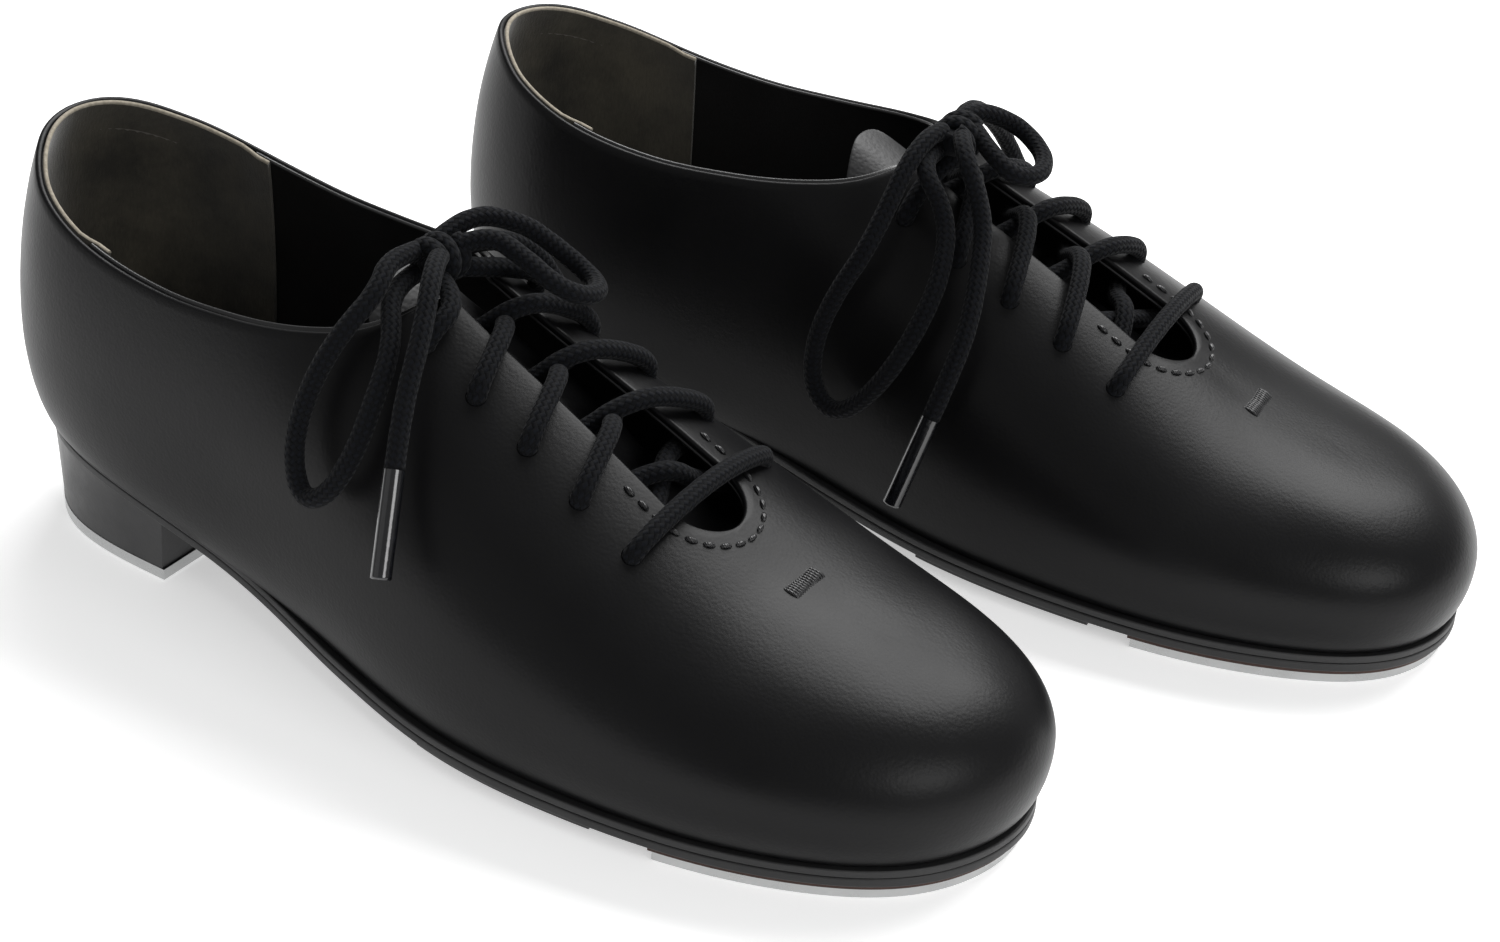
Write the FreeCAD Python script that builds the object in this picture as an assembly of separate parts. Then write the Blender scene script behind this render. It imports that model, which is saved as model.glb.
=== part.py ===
"""A pair of lace-up tap shoes: one-piece leather upper, punched eyelets, round laces tied in
a bow, stacked sole with a low heel block, and a metal tap under each toe and each heel.
Both shoes are worked out on the right shoe (x from the back of the heel to the toe, +y to
the inside of the foot, z up from the ground) and the left shoe is its mirror image.
"""
import FreeCAD, Part
import math
import os

V = FreeCAD.Vector

# ---------------------------------------------------------------- driving dimensions (mm)
shoe_length = 258.0        # back of the heel to the toe tip
ball_width = 92.0          # widest part of the upper, across the ball
upper_height = 63.0        # collar at the back of the heel, above the featherline
heel_height = 23.0         # ground to the underside of the outsole at the back of the heel
heel_length = 57.0         # back of the heel to the breast of the heel block
upper_thickness = 1.6
lining_thickness = 1.0
lining_seam = 40.0         # back of the heel to the seam between heel and forepart lining
glue_line = 0.15           # between curved layers that are cemented together
sole_gap = 0.05            # between the flat layers of the sole
insole_thickness = 1.8
sock_thickness = 1.2
welt_thickness = 2.0
outsole_thickness = 2.2
pad_thickness = 1.5
toe_board_thickness = 1.2
toe_tap_thickness = 2.6
heel_tap_thickness = 3.0
welt_reach = 2.4           # welt edge beyond the featherline, round the forepart
lasting_margin = 13.0      # how far the upper is turned in under the insole
lace_diameter = 4.2
eyelet_diameter = 4.9
eyelet_inset_low = 14.0    # throat edge to the middle of the lowest eyelet
eyelet_inset_top = 12.0    # throat edge to the middle of the top eyelet
eyelet_pairs = 5
aglet_diameter = 4.4
aglet_length = 22.0
shoe_spacing = 105.0       # centre line to centre line
shoe_stagger = 43.0        # how far the left shoe stands ahead of the right
left_turn = 5.8            # degrees, the left shoe's toe turned outward

long = shoe_length / 258.0
wide = ball_width / 92.0
tall = upper_height / 63.0

# The throat: a slit from the facing corners down to a round end on the instep
throat_top_x = 118.0 * long
throat_end_x = 186.0 * long
throat_top_half = 6.5
throat_end_half = 10.0
first_eyelet_x = 177.0 * long
last_eyelet_x = 121.0 * long

# Levels of the sole, ground up
fore_level = toe_tap_thickness + toe_board_thickness + outsole_thickness + welt_thickness
seat_level = heel_height + outsole_thickness + welt_thickness
ball_x = 145.0 * long
seat_x = 5.0 * long

# Clearance of the lace above and below the flaps it is threaded through
flap = upper_thickness + glue_line + lining_thickness
lace_over = lace_diameter / 2 + 1.0
lace_under = flap + lace_diameter / 2 + 1.15
tongue_depth = lace_under + lace_diameter / 2 + 1.9
tongue_thickness = 1.8

# ---------------------------------------------------------------- the shape of the last
# Stations from the toe tip along the side to the back of the heel. Each one is
# x, half width on the outside, half width on the inside, height of the widest point above
# the featherline, share turned in below it, x of the ridge, height of the ridge.
stations = [
    (258.0, -3.0, 3.0, 12.0, 0.12, 221.0, 33.0),
    (251.0, 19.0, 23.0, 12.0, 0.12, 219.5, 33.5),
    (233.0, 35.0, 36.0, 12.5, 0.12, 213.0, 35.5),
    (206.0, 45.0, 43.0, 14.0, 0.10, 199.0, 39.5),
    (176.0, 48.5, 43.5, 17.0, 0.08, 174.0, 52.0),
    (145.0, 47.5, 40.0, 21.0, 0.08, 145.0, 66.0),
    (113.0, 41.5, 33.5, 26.0, 0.13, 113.0, 79.5),
    (81.0, 36.5, 30.5, 28.5, 0.16, 81.0, 92.5),
    (45.0, 34.0, 31.0, 24.5, 0.13, 56.0, 100.0),
    (15.0, 25.5, 23.5, 22.9, 0.12, 48.0, 105.5),
    (0.0, 0.0, 0.0, 24.0, 0.12, 45.0, 107.0),
]
# The top edge of the upper seen from the side: x, height above the featherline
topline = [(-14.0, 70.0), (0.0, 65.0), (9.0, 64.0), (22.0, 59.3), (40.0, 56.7), (60.0, 58.2),
           (80.0, 63.0), (98.0, 68.6), (110.0, 73.2), (119.0, 79.2), (127.0, 89.0)]
topline_tilt = 0.03        # the inside of the topline stands a little higher
lower_share = 0.35         # part of each meridian that lies below the widest point
start_angle = math.radians(25.0)
feather_overrun = 1.0      # the meridians start this far below the featherline


def bottom(x):
    """Featherline height: flat under the toes, rising through the arch to the heel."""
    t = min(1.0, max(0.0, (ball_x - x) / (ball_x - seat_x))) ** 1.15
    return fore_level + (seat_level - fore_level) * t * t * (3 - 2 * t)


def ring(values):
    """Control values of the smooth closed curve through evenly spaced values."""
    n = len(values)
    c = list(values)
    for _ in range(80):
        c = [c[i] + values[i] - (c[i - 1] + 4 * c[i] + c[(i + 1) % n]) / 6 for i in range(n)]
    return c


def channels():
    half = stations[1:-1]
    loop = [(s, -1) for s in stations[:-1]] + [(stations[-1], 1)] + [(s, 1) for s in half[::-1]]
    rows = []
    for s, side in loop:
        y = -s[1] if side < 0 else s[2]
        rows.append((s[0] * long, y * wide, s[3] * tall, s[4], s[5] * long, s[6] * tall))
    return [ring([r[j] for r in rows]) for j in range(6)]


CONTROL = channels()
COUNT = len(CONTROL[0])
HALF = COUNT // 2


def station(u):
    """Shape values at u: 0 toe tip, HALF heel back, COUNT toe tip again."""
    i = int(math.floor(u))
    t = u - i
    b = ((1 - t) ** 3 / 6, (3 * t ** 3 - 6 * t ** 2 + 4) / 6,
         (-3 * t ** 3 + 3 * t ** 2 + 3 * t + 1) / 6, t ** 3 / 6)
    return [sum(b[j] * c[(i - 1 + j) % COUNT] for j in range(4)) for c in CONTROL]


def skin(u, v, inset=0.0):
    """A point of the upper's surface, or of one lying `inset` inside it."""
    x, y, h, k, xt, ht = station(u)
    if inset:
        a = station(u + 0.01)
        b = station(u - 0.01)
        dx, dy = a[0] - b[0], a[1] - b[1]
        size = math.hypot(dx, dy)
        x, y = x + inset * dy / size, y - inset * dx / size
    zt = bottom(xt) + ht - inset
    z = bottom(x) + h
    bx = x + (xt - x) * k
    by = y * (1 - k)
    bz = bottom(bx) + inset - feather_overrun
    if v < lower_share:
        s0, c0 = math.sin(start_angle), math.cos(start_angle)
        a = start_angle + v / lower_share * (math.pi / 2 - start_angle)
        out = (math.sin(a) - s0) / (1 - s0)
        up = (c0 - math.cos(a)) / c0
        return V(bx + (x - bx) * out, by + (y - by) * out, bz + (z - bz) * up)
    a = (v - lower_share) / (1 - lower_share) * math.pi / 2
    c = 1 - math.cos(a)
    return V(x + (xt - x) * c, y * (1 - c), z + (zt - z) * math.sin(a))


def normal(u, v):
    e = 0.004
    du = skin(u + e, v).sub(skin(u - e, v))
    dv = skin(u, min(v + e, 0.9999)).sub(skin(u, v - e))
    n = dv.cross(du)
    n.normalize()
    if n.z < 0 and v > 0.9:
        n = n.multiply(-1)
    return n


def find_u(x, v, side):
    """The u on one side whose meridian passes x at height share v."""
    low, high = (0.6, HALF - 0.6) if side < 0 else (HALF + 0.6, COUNT - 0.6)
    for _ in range(40):
        mid = (low + high) / 2
        if (skin(mid, v).x > x) == (side < 0):
            low = mid
        else:
            high = mid
    return (low + high) / 2


def over(x, side, v, lift):
    """A point standing `lift` off the upper, at x and height share v on one side."""
    u = find_u(x * long, v, side)
    return skin(u, v).add(normal(u, v).multiply(lift))


def on_top(x, y, lift):
    """A point standing `lift` off the upper above plan position x, y near the ridge."""
    side = -1 if y < 0 else 1
    y = y if abs(y) > 0.02 else 0.02 * side
    low, high = (lower_share, 0.9995)
    for _ in range(40):
        mid = (low + high) / 2
        u = find_u(x, mid, side)
        if abs(skin(u, mid).y) > abs(y):
            low = mid
        else:
            high = mid
    u = find_u(x, low, side)
    n = normal(u, low)
    if abs(y) < 1.0:
        n = V(n.x, n.y * abs(y), n.z)
        n.normalize()
    return skin(u, low).add(n.multiply(lift))


# ---------------------------------------------------------------- surfaces and solids
def even_curve(points, parameters):
    c = Part.BSplineCurve()
    c.interpolate(Points=points, Parameters=parameters)
    return c


def grid_surface(grid):
    """A smooth surface through a grid of points, evenly parametrised both ways."""
    nu, nv = len(grid), len(grid[0])
    pu = [i / (nu - 1.0) for i in range(nu)]
    pv = [i / (nv - 1.0) for i in range(nv)]
    across = [even_curve(row, pv) for row in grid]
    poles = [c.getPoles() for c in across]
    along = [even_curve([poles[i][j] for i in range(nu)], pu) for j in range(len(poles[0]))]
    table = [c.getPoles() for c in along]
    final = [[table[j][i] for j in range(len(table))] for i in range(len(table[0]))]
    s = Part.BSplineSurface()
    s.buildFromPolesMultsKnots(final, along[0].getMultiplicities(), across[0].getMultiplicities(),
                               along[0].getKnots(), across[0].getKnots(), False, False,
                               along[0].Degree, across[0].Degree)
    return s


def close_solid(faces):
    shell = Part.Compound(faces)
    shell.sewShape()
    shell = shell.Shells[0] if shell.ShapeType != "Shell" else shell
    solid = Part.Solid(shell)
    if solid.Volume < 0:
        solid.reverse()
    return solid


def last_body(inset):
    """The whole space inside the upper at one inset, run straight down below the sole."""
    faces = []
    drops = []
    for start in (0, HALF):
        us = [start + i * 0.25 for i in range(HALF * 4 + 1)]
        vs = [j * lower_share / 6 for j in range(6)]
        vs += [lower_share + (1 - lower_share) * j / 12 for j in range(13)]
        grid = [[skin(u, v, inset) for v in vs] for u in us]
        if start == HALF:
            grid = grid[::-1]
        s = grid_surface(grid)
        faces.append(s.toShape())
        edge = s.vIso(s.getVKnots()[0])
        flat = edge.copy()
        for i, p in enumerate(flat.getPoles()):
            flat.setPole(i + 1, V(p.x, p.y, -6.0))
        faces.append(Part.makeRuledSurface(edge.toShape(), flat.toShape()))
        drops.append(flat.toShape())
    faces.append(Part.Face(Part.Wire(drops)))
    return close_solid(faces)


def side_face(points, close):
    """A flat face in the plane y = -90, a smooth line on one side and straight lines."""
    c = Part.BSplineCurve()
    c.interpolate([V(x, -90, z) for x, z in points])
    corners = [V(points[-1][0], -90, close), V(points[0][0], -90, close)]
    lines = [Part.makeLine(V(points[-1][0], -90, points[-1][1]), corners[0]),
             Part.makeLine(corners[0], corners[1]),
             Part.makeLine(corners[1], V(points[0][0], -90, points[0][1]))]
    return Part.Face(Part.Wire([c.toShape()] + lines))


def below(height):
    """Everything under the bottom curve raised by `height`."""
    xs = [-30 * long + i * 10 * long for i in range(35)]
    pts = [(x, bottom(x) + height) for x in xs]
    return side_face(pts, -60.0).extrude(V(0, 180, 0))


def band(low, high):
    return below(high).cut(below(low))


def above_topline(drop=0.0):
    pts = [(x * long, bottom(x * long) + h * tall - drop - 90 * topline_tilt) for x, h in topline]
    return side_face(pts, 240.0).extrude(V(0, 180, 180 * topline_tilt))


def outline(offset, reach=0.0, steps=64):
    """Plan points of the featherline moved outward; `reach` is added round the forepart."""
    pts = []
    for i in range(steps):
        u = COUNT * i / steps
        p, a, b = [feather(w) for w in (u, u + 0.02, u - 0.02)]
        dx, dy = a[0] - b[0], a[1] - b[1]
        size = math.hypot(dx, dy)
        t = min(1.0, max(0.0, (p[0] / long - 65) / 50))
        d = offset + reach * t * t * (3 - 2 * t)
        pts.append(V(p[0] - d * dy / size, p[1] + d * dx / size, 0))
    return pts


def feather(u):
    x, y, h, k, xt, ht = station(u)
    return (x + (xt - x) * k, y * (1 - k))


def prism(points, low=-10.0, high=80.0):
    c = Part.BSplineCurve()
    c.interpolate(Points=points, PeriodicFlag=True)
    face = Part.Face(Part.Wire(c.toShape()))
    face.translate(V(0, 0, low))
    return face.extrude(V(0, 0, high - low))


def slab(x0, x1):
    return Part.makeBox(x1 - x0, 240, 320, V(x0, -120, -60))


def largest(shape):
    return max(shape.Solids, key=lambda s: s.Volume)


# ---------------------------------------------------------------- throat and eyelets
def throat_half(x):
    bottom_x = throat_end_x - throat_end_half
    t = (bottom_x - x) / (bottom_x - throat_top_x)
    return throat_end_half + (throat_top_half - throat_end_half) * max(-0.2, t)


def throat_cutter():
    bx = throat_end_x - throat_end_half
    x0 = throat_top_x - 30 * long
    w = throat_half(x0)
    r = throat_end_half
    arc = Part.Arc(V(bx, r, 0), V(throat_end_x, 0, 0), V(bx, -r, 0)).toShape()
    lines = [Part.makeLine(V(bx, -r, 0), V(x0, -w, 0)), Part.makeLine(V(x0, -w, 0), V(x0, w, 0)),
             Part.makeLine(V(x0, w, 0), V(bx, r, 0))]
    face = Part.Face(Part.Wire([arc] + lines))
    face.translate(V(0, 0, fore_level + 25 * tall))
    return face.extrude(V(0, 0, 120))


def eyelet(i, side):
    x = first_eyelet_x + (last_eyelet_x - first_eyelet_x) * i / (eyelet_pairs - 1.0)
    t = i / (eyelet_pairs - 1.0)
    inset = eyelet_inset_low + (eyelet_inset_top - eyelet_inset_low) * t
    return x, side * (throat_half(x) + inset)


def eyelet_holes():
    holes = []
    for i in range(eyelet_pairs):
        for side in (-1, 1):
            x, y = eyelet(i, side)
            a = on_top(x, y, 5.0)
            b = on_top(x, y, -7.0)
            holes.append(Part.makeCylinder(eyelet_diameter / 2, 12, b, a.sub(b)))
    return Part.Compound(holes)


# ---------------------------------------------------------------- upper and linings
def upper_parts():
    t = upper_thickness
    g = glue_line
    lin = t + g + lining_thickness
    inner = lin + g
    outer_body = last_body(0.0)
    b1 = last_body(t)
    b2 = last_body(t + g)
    b3 = last_body(lin)
    b4 = last_body(inner)
    b5 = last_body(inner + lining_thickness)
    top = above_topline()
    slot = throat_cutter()
    holes = eyelet_holes()
    floor = below(t + g + insole_thickness + g)
    lasting = prism(outline(-lasting_margin)).common(below(t + 0.4))
    upper = outer_body.cut(below(0.0)).cut(b1.cut(below(t))).cut(lasting)
    upper = largest(upper.cut(top).cut(slot).cut(holes))
    shell = b2.cut(b3).cut(floor)
    counter = shell.common(slab(-30, lining_seam - 2.0)).cut(above_topline(8.0 * tall))
    fore = shell.common(slab(lining_seam, 212 * long)).cut(top).cut(slot).cut(holes)
    puff = b2.cut(b4).cut(floor).common(slab(213 * long, 300 * long))
    heel = b4.cut(b5).cut(floor).common(slab(-30, lining_seam + 4.0)).cut(top)
    board = b2.common(band(t + g, t + g + insole_thickness))
    sock_body = last_body(inner + lining_thickness + g)
    low = t + g + insole_thickness + g
    sock = sock_body.common(band(low, low + sock_thickness))
    return {"upper": upper, "heel_counter": largest(counter), "forepart_lining": fore,
            "toe_puff": largest(puff), "heel_lining": largest(heel),
            "insole_board": largest(board), "sock_liner": largest(sock)}


def tongue():
    """A soft flap under the laces, stitched to the lining below the throat."""
    top, low = [], []
    base_x = throat_end_x + 15 * long
    tip_x = throat_top_x - 13 * long
    for i in range(17):
        x = tip_x + (base_x - tip_x) * i / 16.0
        t = min(1.0, max(0.0, (x - (base_x - 24 * long)) / (24 * long)))
        depth = tongue_depth + (flap + 0.3 - tongue_depth) * t * t * (3 - 2 * t)
        w = (17.0 + 9.0 * (base_x - x) / (base_x - tip_x)) * wide
        end = min((x - tip_x), (base_x - x)) / (9.0 * long)
        if end < 1:
            w *= 0.72 + 0.28 * math.sqrt(max(0.0, 1 - (1 - end) ** 2))
        top.append([on_top(x, w * j / 4.0, -depth) for j in range(-4, 5)])
        low.append([on_top(x, w * j / 4.0, -depth - tongue_thickness) for j in range(-4, 5)])
    a, b = grid_surface(top), grid_surface(low)
    faces = [a.toShape(), b.toShape()]
    for get, knots in (("uIso", "getUKnots"), ("vIso", "getVKnots")):
        for k in (0, -1):
            e1 = getattr(a, get)(getattr(a, knots)()[k]).toShape()
            e2 = getattr(b, get)(getattr(b, knots)()[k]).toShape()
            faces.append(Part.makeRuledSurface(e1, e2))
    return close_solid(faces)


# ---------------------------------------------------------------- sole, heel and taps
nail_spots = [(30.0, -9.5), (30.0, 9.5), (49.0, -10.5), (49.0, 10.5)]
heel_screw_spots = [(14.0, 0.0), (42.0, -15.0), (42.0, 15.0)]
toe_screw_spots = [(238.0, 1.0), (212.0, -27.0), (212.0, 27.0)]


def plugs(spots, radius, low, high):
    return Part.Compound([Part.makeCylinder(radius, high - low, V(x * long, y * wide, low))
                          for x, y in spots])


def screws(spots, tap_thickness, length):
    """Countersunk wood screws driven up through a tap, heads just below its face."""
    group = []
    for x, y in spots:
        head = Part.makeCone(2.9, 1.5, 1.6, V(x * long, y * wide, 0.35))
        shank = Part.makeCylinder(1.5, length, V(x * long, y * wide, 1.9))
        body = head.fuse(shank).removeSplitter()
        slot = Part.makeBox(3.6, 0.8, 0.7, V(x * long - 1.8, y * wide - 0.4, 0.3))
        cross = Part.makeBox(0.8, 3.6, 0.7, V(x * long - 0.4, y * wide - 1.8, 0.3))
        group.append(body.cut(slot).cut(cross))
    return Part.Compound(group)


def screw_room(spots):
    room = []
    for x, y in spots:
        room.append(Part.makeCone(3.25, 1.65, 1.7, V(x * long, y * wide, 0.25)))
        room.append(Part.makeCylinder(3.25, 2.0, V(x * long, y * wide, -1.75)))
        room.append(Part.makeCylinder(1.6, 14, V(x * long, y * wide, 0)))
    return Part.Compound(room)


def heel_wire(offset, z, front):
    """D-shaped outline of the heel: the curve of the seat and a straight breast."""
    pts = []
    for i in range(121):
        u = HALF - 4.5 + 9.0 * i / 120
        p, a, b = [feather(w) for w in (u, u + 0.02, u - 0.02)]
        dx, dy = a[0] - b[0], a[1] - b[1]
        size = math.hypot(dx, dy)
        q = (p[0] - offset * dy / size, p[1] + offset * dx / size)
        if q[0] <= front:
            pts.append(V(q[0], q[1], z))
    first = V(front, pts[0].y + (pts[0].y - pts[1].y) * 0.1, z)
    last = V(front, pts[-1].y + (pts[-1].y - pts[-2].y) * 0.1, z)
    inner = pts[3:-3:6]
    c = Part.BSplineCurve()
    c.interpolate([first] + inner + [last])
    return Part.Wire([c.toShape(), Part.makeLine(last, first)])


def sole_parts():
    g = sole_gap
    edge = outline(-0.5, welt_reach + 0.5)
    welt = prism(edge).cut(prism(outline(-lasting_margin))).common(band(-welt_thickness + g, -g))
    filler = prism(outline(-lasting_margin - 0.15))
    filler = filler.common(band(-welt_thickness + g, upper_thickness))
    shank_box = Part.makeBox(125 * long, 12, 90, V(25 * long, -6, -10))
    shank = shank_box.common(band(0.3, 1.5))
    room_box = Part.makeBox(125 * long + 0.3, 12.3, 90, V(25 * long - 0.15, -6.15, -10))
    filler = filler.cut(room_box.common(band(0.2, 1.55)))
    low = -welt_thickness - outsole_thickness
    outsole = prism(outline(-0.6, welt_reach + 0.6)).common(band(low, -welt_thickness))
    pad = prism(outline(-1.8, welt_reach + 0.6)).common(band(low - pad_thickness, low - g))
    pad = pad.common(slab(139 * long, 184.0 * long))
    front = heel_length * long
    block = Part.makeLoft([heel_wire(-0.6, seat_level, front),
                           heel_wire(-2.1, heel_tap_thickness + g, front - 1.8)], True, True)
    block = block.common(below(low - g))
    tap = Part.Face(heel_wire(-2.0, 0.0, front - 1.3)).extrude(V(0, 0, heel_tap_thickness))
    rim = [e for e in tap.Edges if abs(e.BoundBox.ZMax) < 0.01]
    tap = tap.makeChamfer(0.35, rim)
    nose = outline(-2.4, welt_reach + 0.6)
    notch = Part.makeCylinder(70 * long, 30, V(134 * long, 4 * wide, -10))
    rear = slab(197 * long, 330 * long)
    rear.rotate(V(197 * long, -44 * wide, 0), V(0, 0, 1), 6.0)
    toe_board = prism(outline(-1.6, welt_reach + 0.6), toe_tap_thickness + g,
                      toe_tap_thickness + toe_board_thickness)
    toe_tap = prism(nose, 0.0, toe_tap_thickness)
    toe_board = toe_board.common(rear).cut(notch)
    rear.translate(V(0.6, 0, 0))
    toe_tap = toe_tap.common(rear).cut(notch)
    heel_screws = screws(heel_screw_spots, heel_tap_thickness, 9.0)
    toe_screws = screws(toe_screw_spots, toe_tap_thickness, 3.6)
    heel_room = screw_room(heel_screw_spots)
    toe_room = screw_room(toe_screw_spots)
    nails = []
    stem_room = plugs(nail_spots, 1.0, heel_height - 12.0, seat_level + 20)
    head_room = []
    for x, y in nail_spots:
        nail_low = heel_height - 11.9
        head_z = bottom(x * long) + upper_thickness + glue_line + insole_thickness - 1.3
        at = V(x * long, y * wide, nail_low)
        stem = Part.makeCylinder(0.9, head_z - nail_low, at)
        at = V(x * long, y * wide, head_z)
        nails.append(stem.fuse(Part.makeCylinder(2.0, 0.7, at)).removeSplitter())
        head_room.append(Part.makeCylinder(2.1, 20, at.add(V(0, 0, -0.05))))
    head_room = Part.Compound(head_room)
    block = block.cut(stem_room).cut(heel_room)
    return {"welt": welt, "bottom_filler": filler.cut(stem_room), "steel_shank": shank,
            "outsole": outsole.cut(stem_room).cut(toe_room), "sole_pad": pad,
            "heel_block": block, "heel_tap": tap.cut(heel_room), "heel_tap_screws": heel_screws,
            "toe_board": toe_board.cut(toe_room), "toe_tap": toe_tap.cut(toe_room),
            "toe_tap_screws": toe_screws, "heel_nails": Part.Compound(nails)}, stem_room, head_room


# ---------------------------------------------------------------- laces
def cord(name, points, radius, cut_by=None):
    """A round lace along straight runs joined by tangent arcs, as wide as the runs allow."""
    edges = []
    radii = []
    here = points[0]
    for i in range(1, len(points) - 1):
        a = points[i - 1].sub(points[i])
        b = points[i + 1].sub(points[i])
        turn = math.pi - a.getAngle(b)
        reach = 0.45 * min(a.Length, b.Length)
        r = reach / math.tan(turn / 2)
        a.normalize()
        b.normalize()
        p = points[i].add(V(a).multiply(reach))
        q = points[i].add(V(b).multiply(reach))
        axis = V(a).add(b)
        axis.normalize()
        far = math.hypot(r, reach)
        m = points[i].add(axis.multiply(far - r))
        edges.append(Part.makeLine(here, p))
        edges.append(Part.Arc(p, m, q).toShape())
        radii.append(r)
        here = q
    edges.append(Part.makeLine(here, points[-1]))
    path = Part.Wire(edges)
    start = points[1].sub(points[0])
    circle = Part.Wire(Part.makeCircle(radius, points[0], start))
    tube = path.makePipeShell([circle], True, False)
    if tube.Volume < 0:
        tube.reverse()
    ideal = math.pi * radius * radius * path.Length
    print("%s: length %.1f, tightest bend %.1f, volume ratio %.4f, radii %s" %
          (name, path.Length, min(radii), tube.Volume / ideal,
           " ".join("%.1f" % r for r in radii)))
    if cut_by is not None:
        tube = largest(tube.cut(cut_by))
    return tube


# Where each shoe's bow is tied, by the side the long loop falls on: x, shift toward that
# side, lift above the instep
bows = {-1: (112.0, 3.5, 1.5), 1: (122.0, 4.0, 9.6)}


def knot_middle(s):
    x, y, lift = bows[s]
    return on_top(x * long, y * s, lift)


def knot(s):
    """The tied knot: a fat barrel lying across the tongue."""
    c = knot_middle(s)
    r, h, e = 5.8, 5.9, 2.0
    pts = [V(0, -h, 0), V(0, -h, r - e), V(0, -h + e, r)]
    pts += [V(0, h - e, r), V(0, h, r - e), V(0, h, 0)]
    mid_a = V(0, -h + e * 0.293, r - e * 0.293)
    mid_b = V(0, h - e * 0.293, r - e * 0.293)
    wire = Part.Wire([Part.makeLine(pts[0], pts[1]), Part.Arc(pts[1], mid_a, pts[2]).toShape(),
                      Part.makeLine(pts[2], pts[3]), Part.Arc(pts[3], mid_b, pts[4]).toShape(),
                      Part.makeLine(pts[4], pts[5]), Part.makeLine(pts[5], pts[0])])
    body = Part.Face(wire).revolve(V(0, 0, 0), V(0, 1, 0), 360)
    body.translate(c)
    return largest(body) if body.Solids else Part.Solid(body)


def lacing_points(s):
    """The threaded lace from the knot, down one zigzag, across the bar and up the other."""
    up, down = lace_over, -lace_under
    holes = [[eyelet(i, s) for i in range(eyelet_pairs)] for s in (-1, 1)]

    def half(first_side):
        pts = []
        side = first_side
        x, y = holes[(side + 1) // 2][0]
        pts.append((x, y, up))
        pts.append((x, y, down))
        w = throat_half(x) - 2.5
        nx, ny = holes[(1 - side) // 2][1]
        mid = (x + nx) / 2
        lift = -1.5 if first_side > 0 else -6.0
        pts.append((mid + 3.6 * long, side * w, -5.9))
        pts.append((mid + 0.2, side * 0.05, lift))
        pts.append((mid - 3.6 * long, -side * w, -5.9))
        side = -side
        for i in range(1, eyelet_pairs):
            x, y = holes[(side + 1) // 2][i]
            pts.append((x, y, down))
            pts.append((x, y, up))
            w = throat_half(x)
            if i < eyelet_pairs - 1:
                nx, ny = holes[(1 - side) // 2][i + 1]
                mid = (x + nx) / 2
                high = side > 0
                pts.append((mid + 3.1 * long, side * (w - 1), 4.4 if high else 3.8))
                pts.append((mid, side * 0.05, 1.9 if high else -2.9))
                pts.append((mid - 2.6 * long, -side * (w - 2.6), -5.9))
                side = -side
        pts.append((last_eyelet_x + 0.8, side * 9.5, 4.6))
        return [on_top(a, b, c) for a, b, c in pts], side

    a, side_a = half(-1)
    b, side_b = half(1)
    c = knot_middle(s)
    a += [c.add(V(2.4, side_a * 3.0, -2.4))]
    b += [c.add(V(2.4, side_b * 3.0, -2.4))]
    bar_x = first_eyelet_x
    bar = [on_top(bar_x + 0.6, y, lace_over + 0.5) for y in (-7.5, 7.5)]
    return a[::-1] + bar + b


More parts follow.
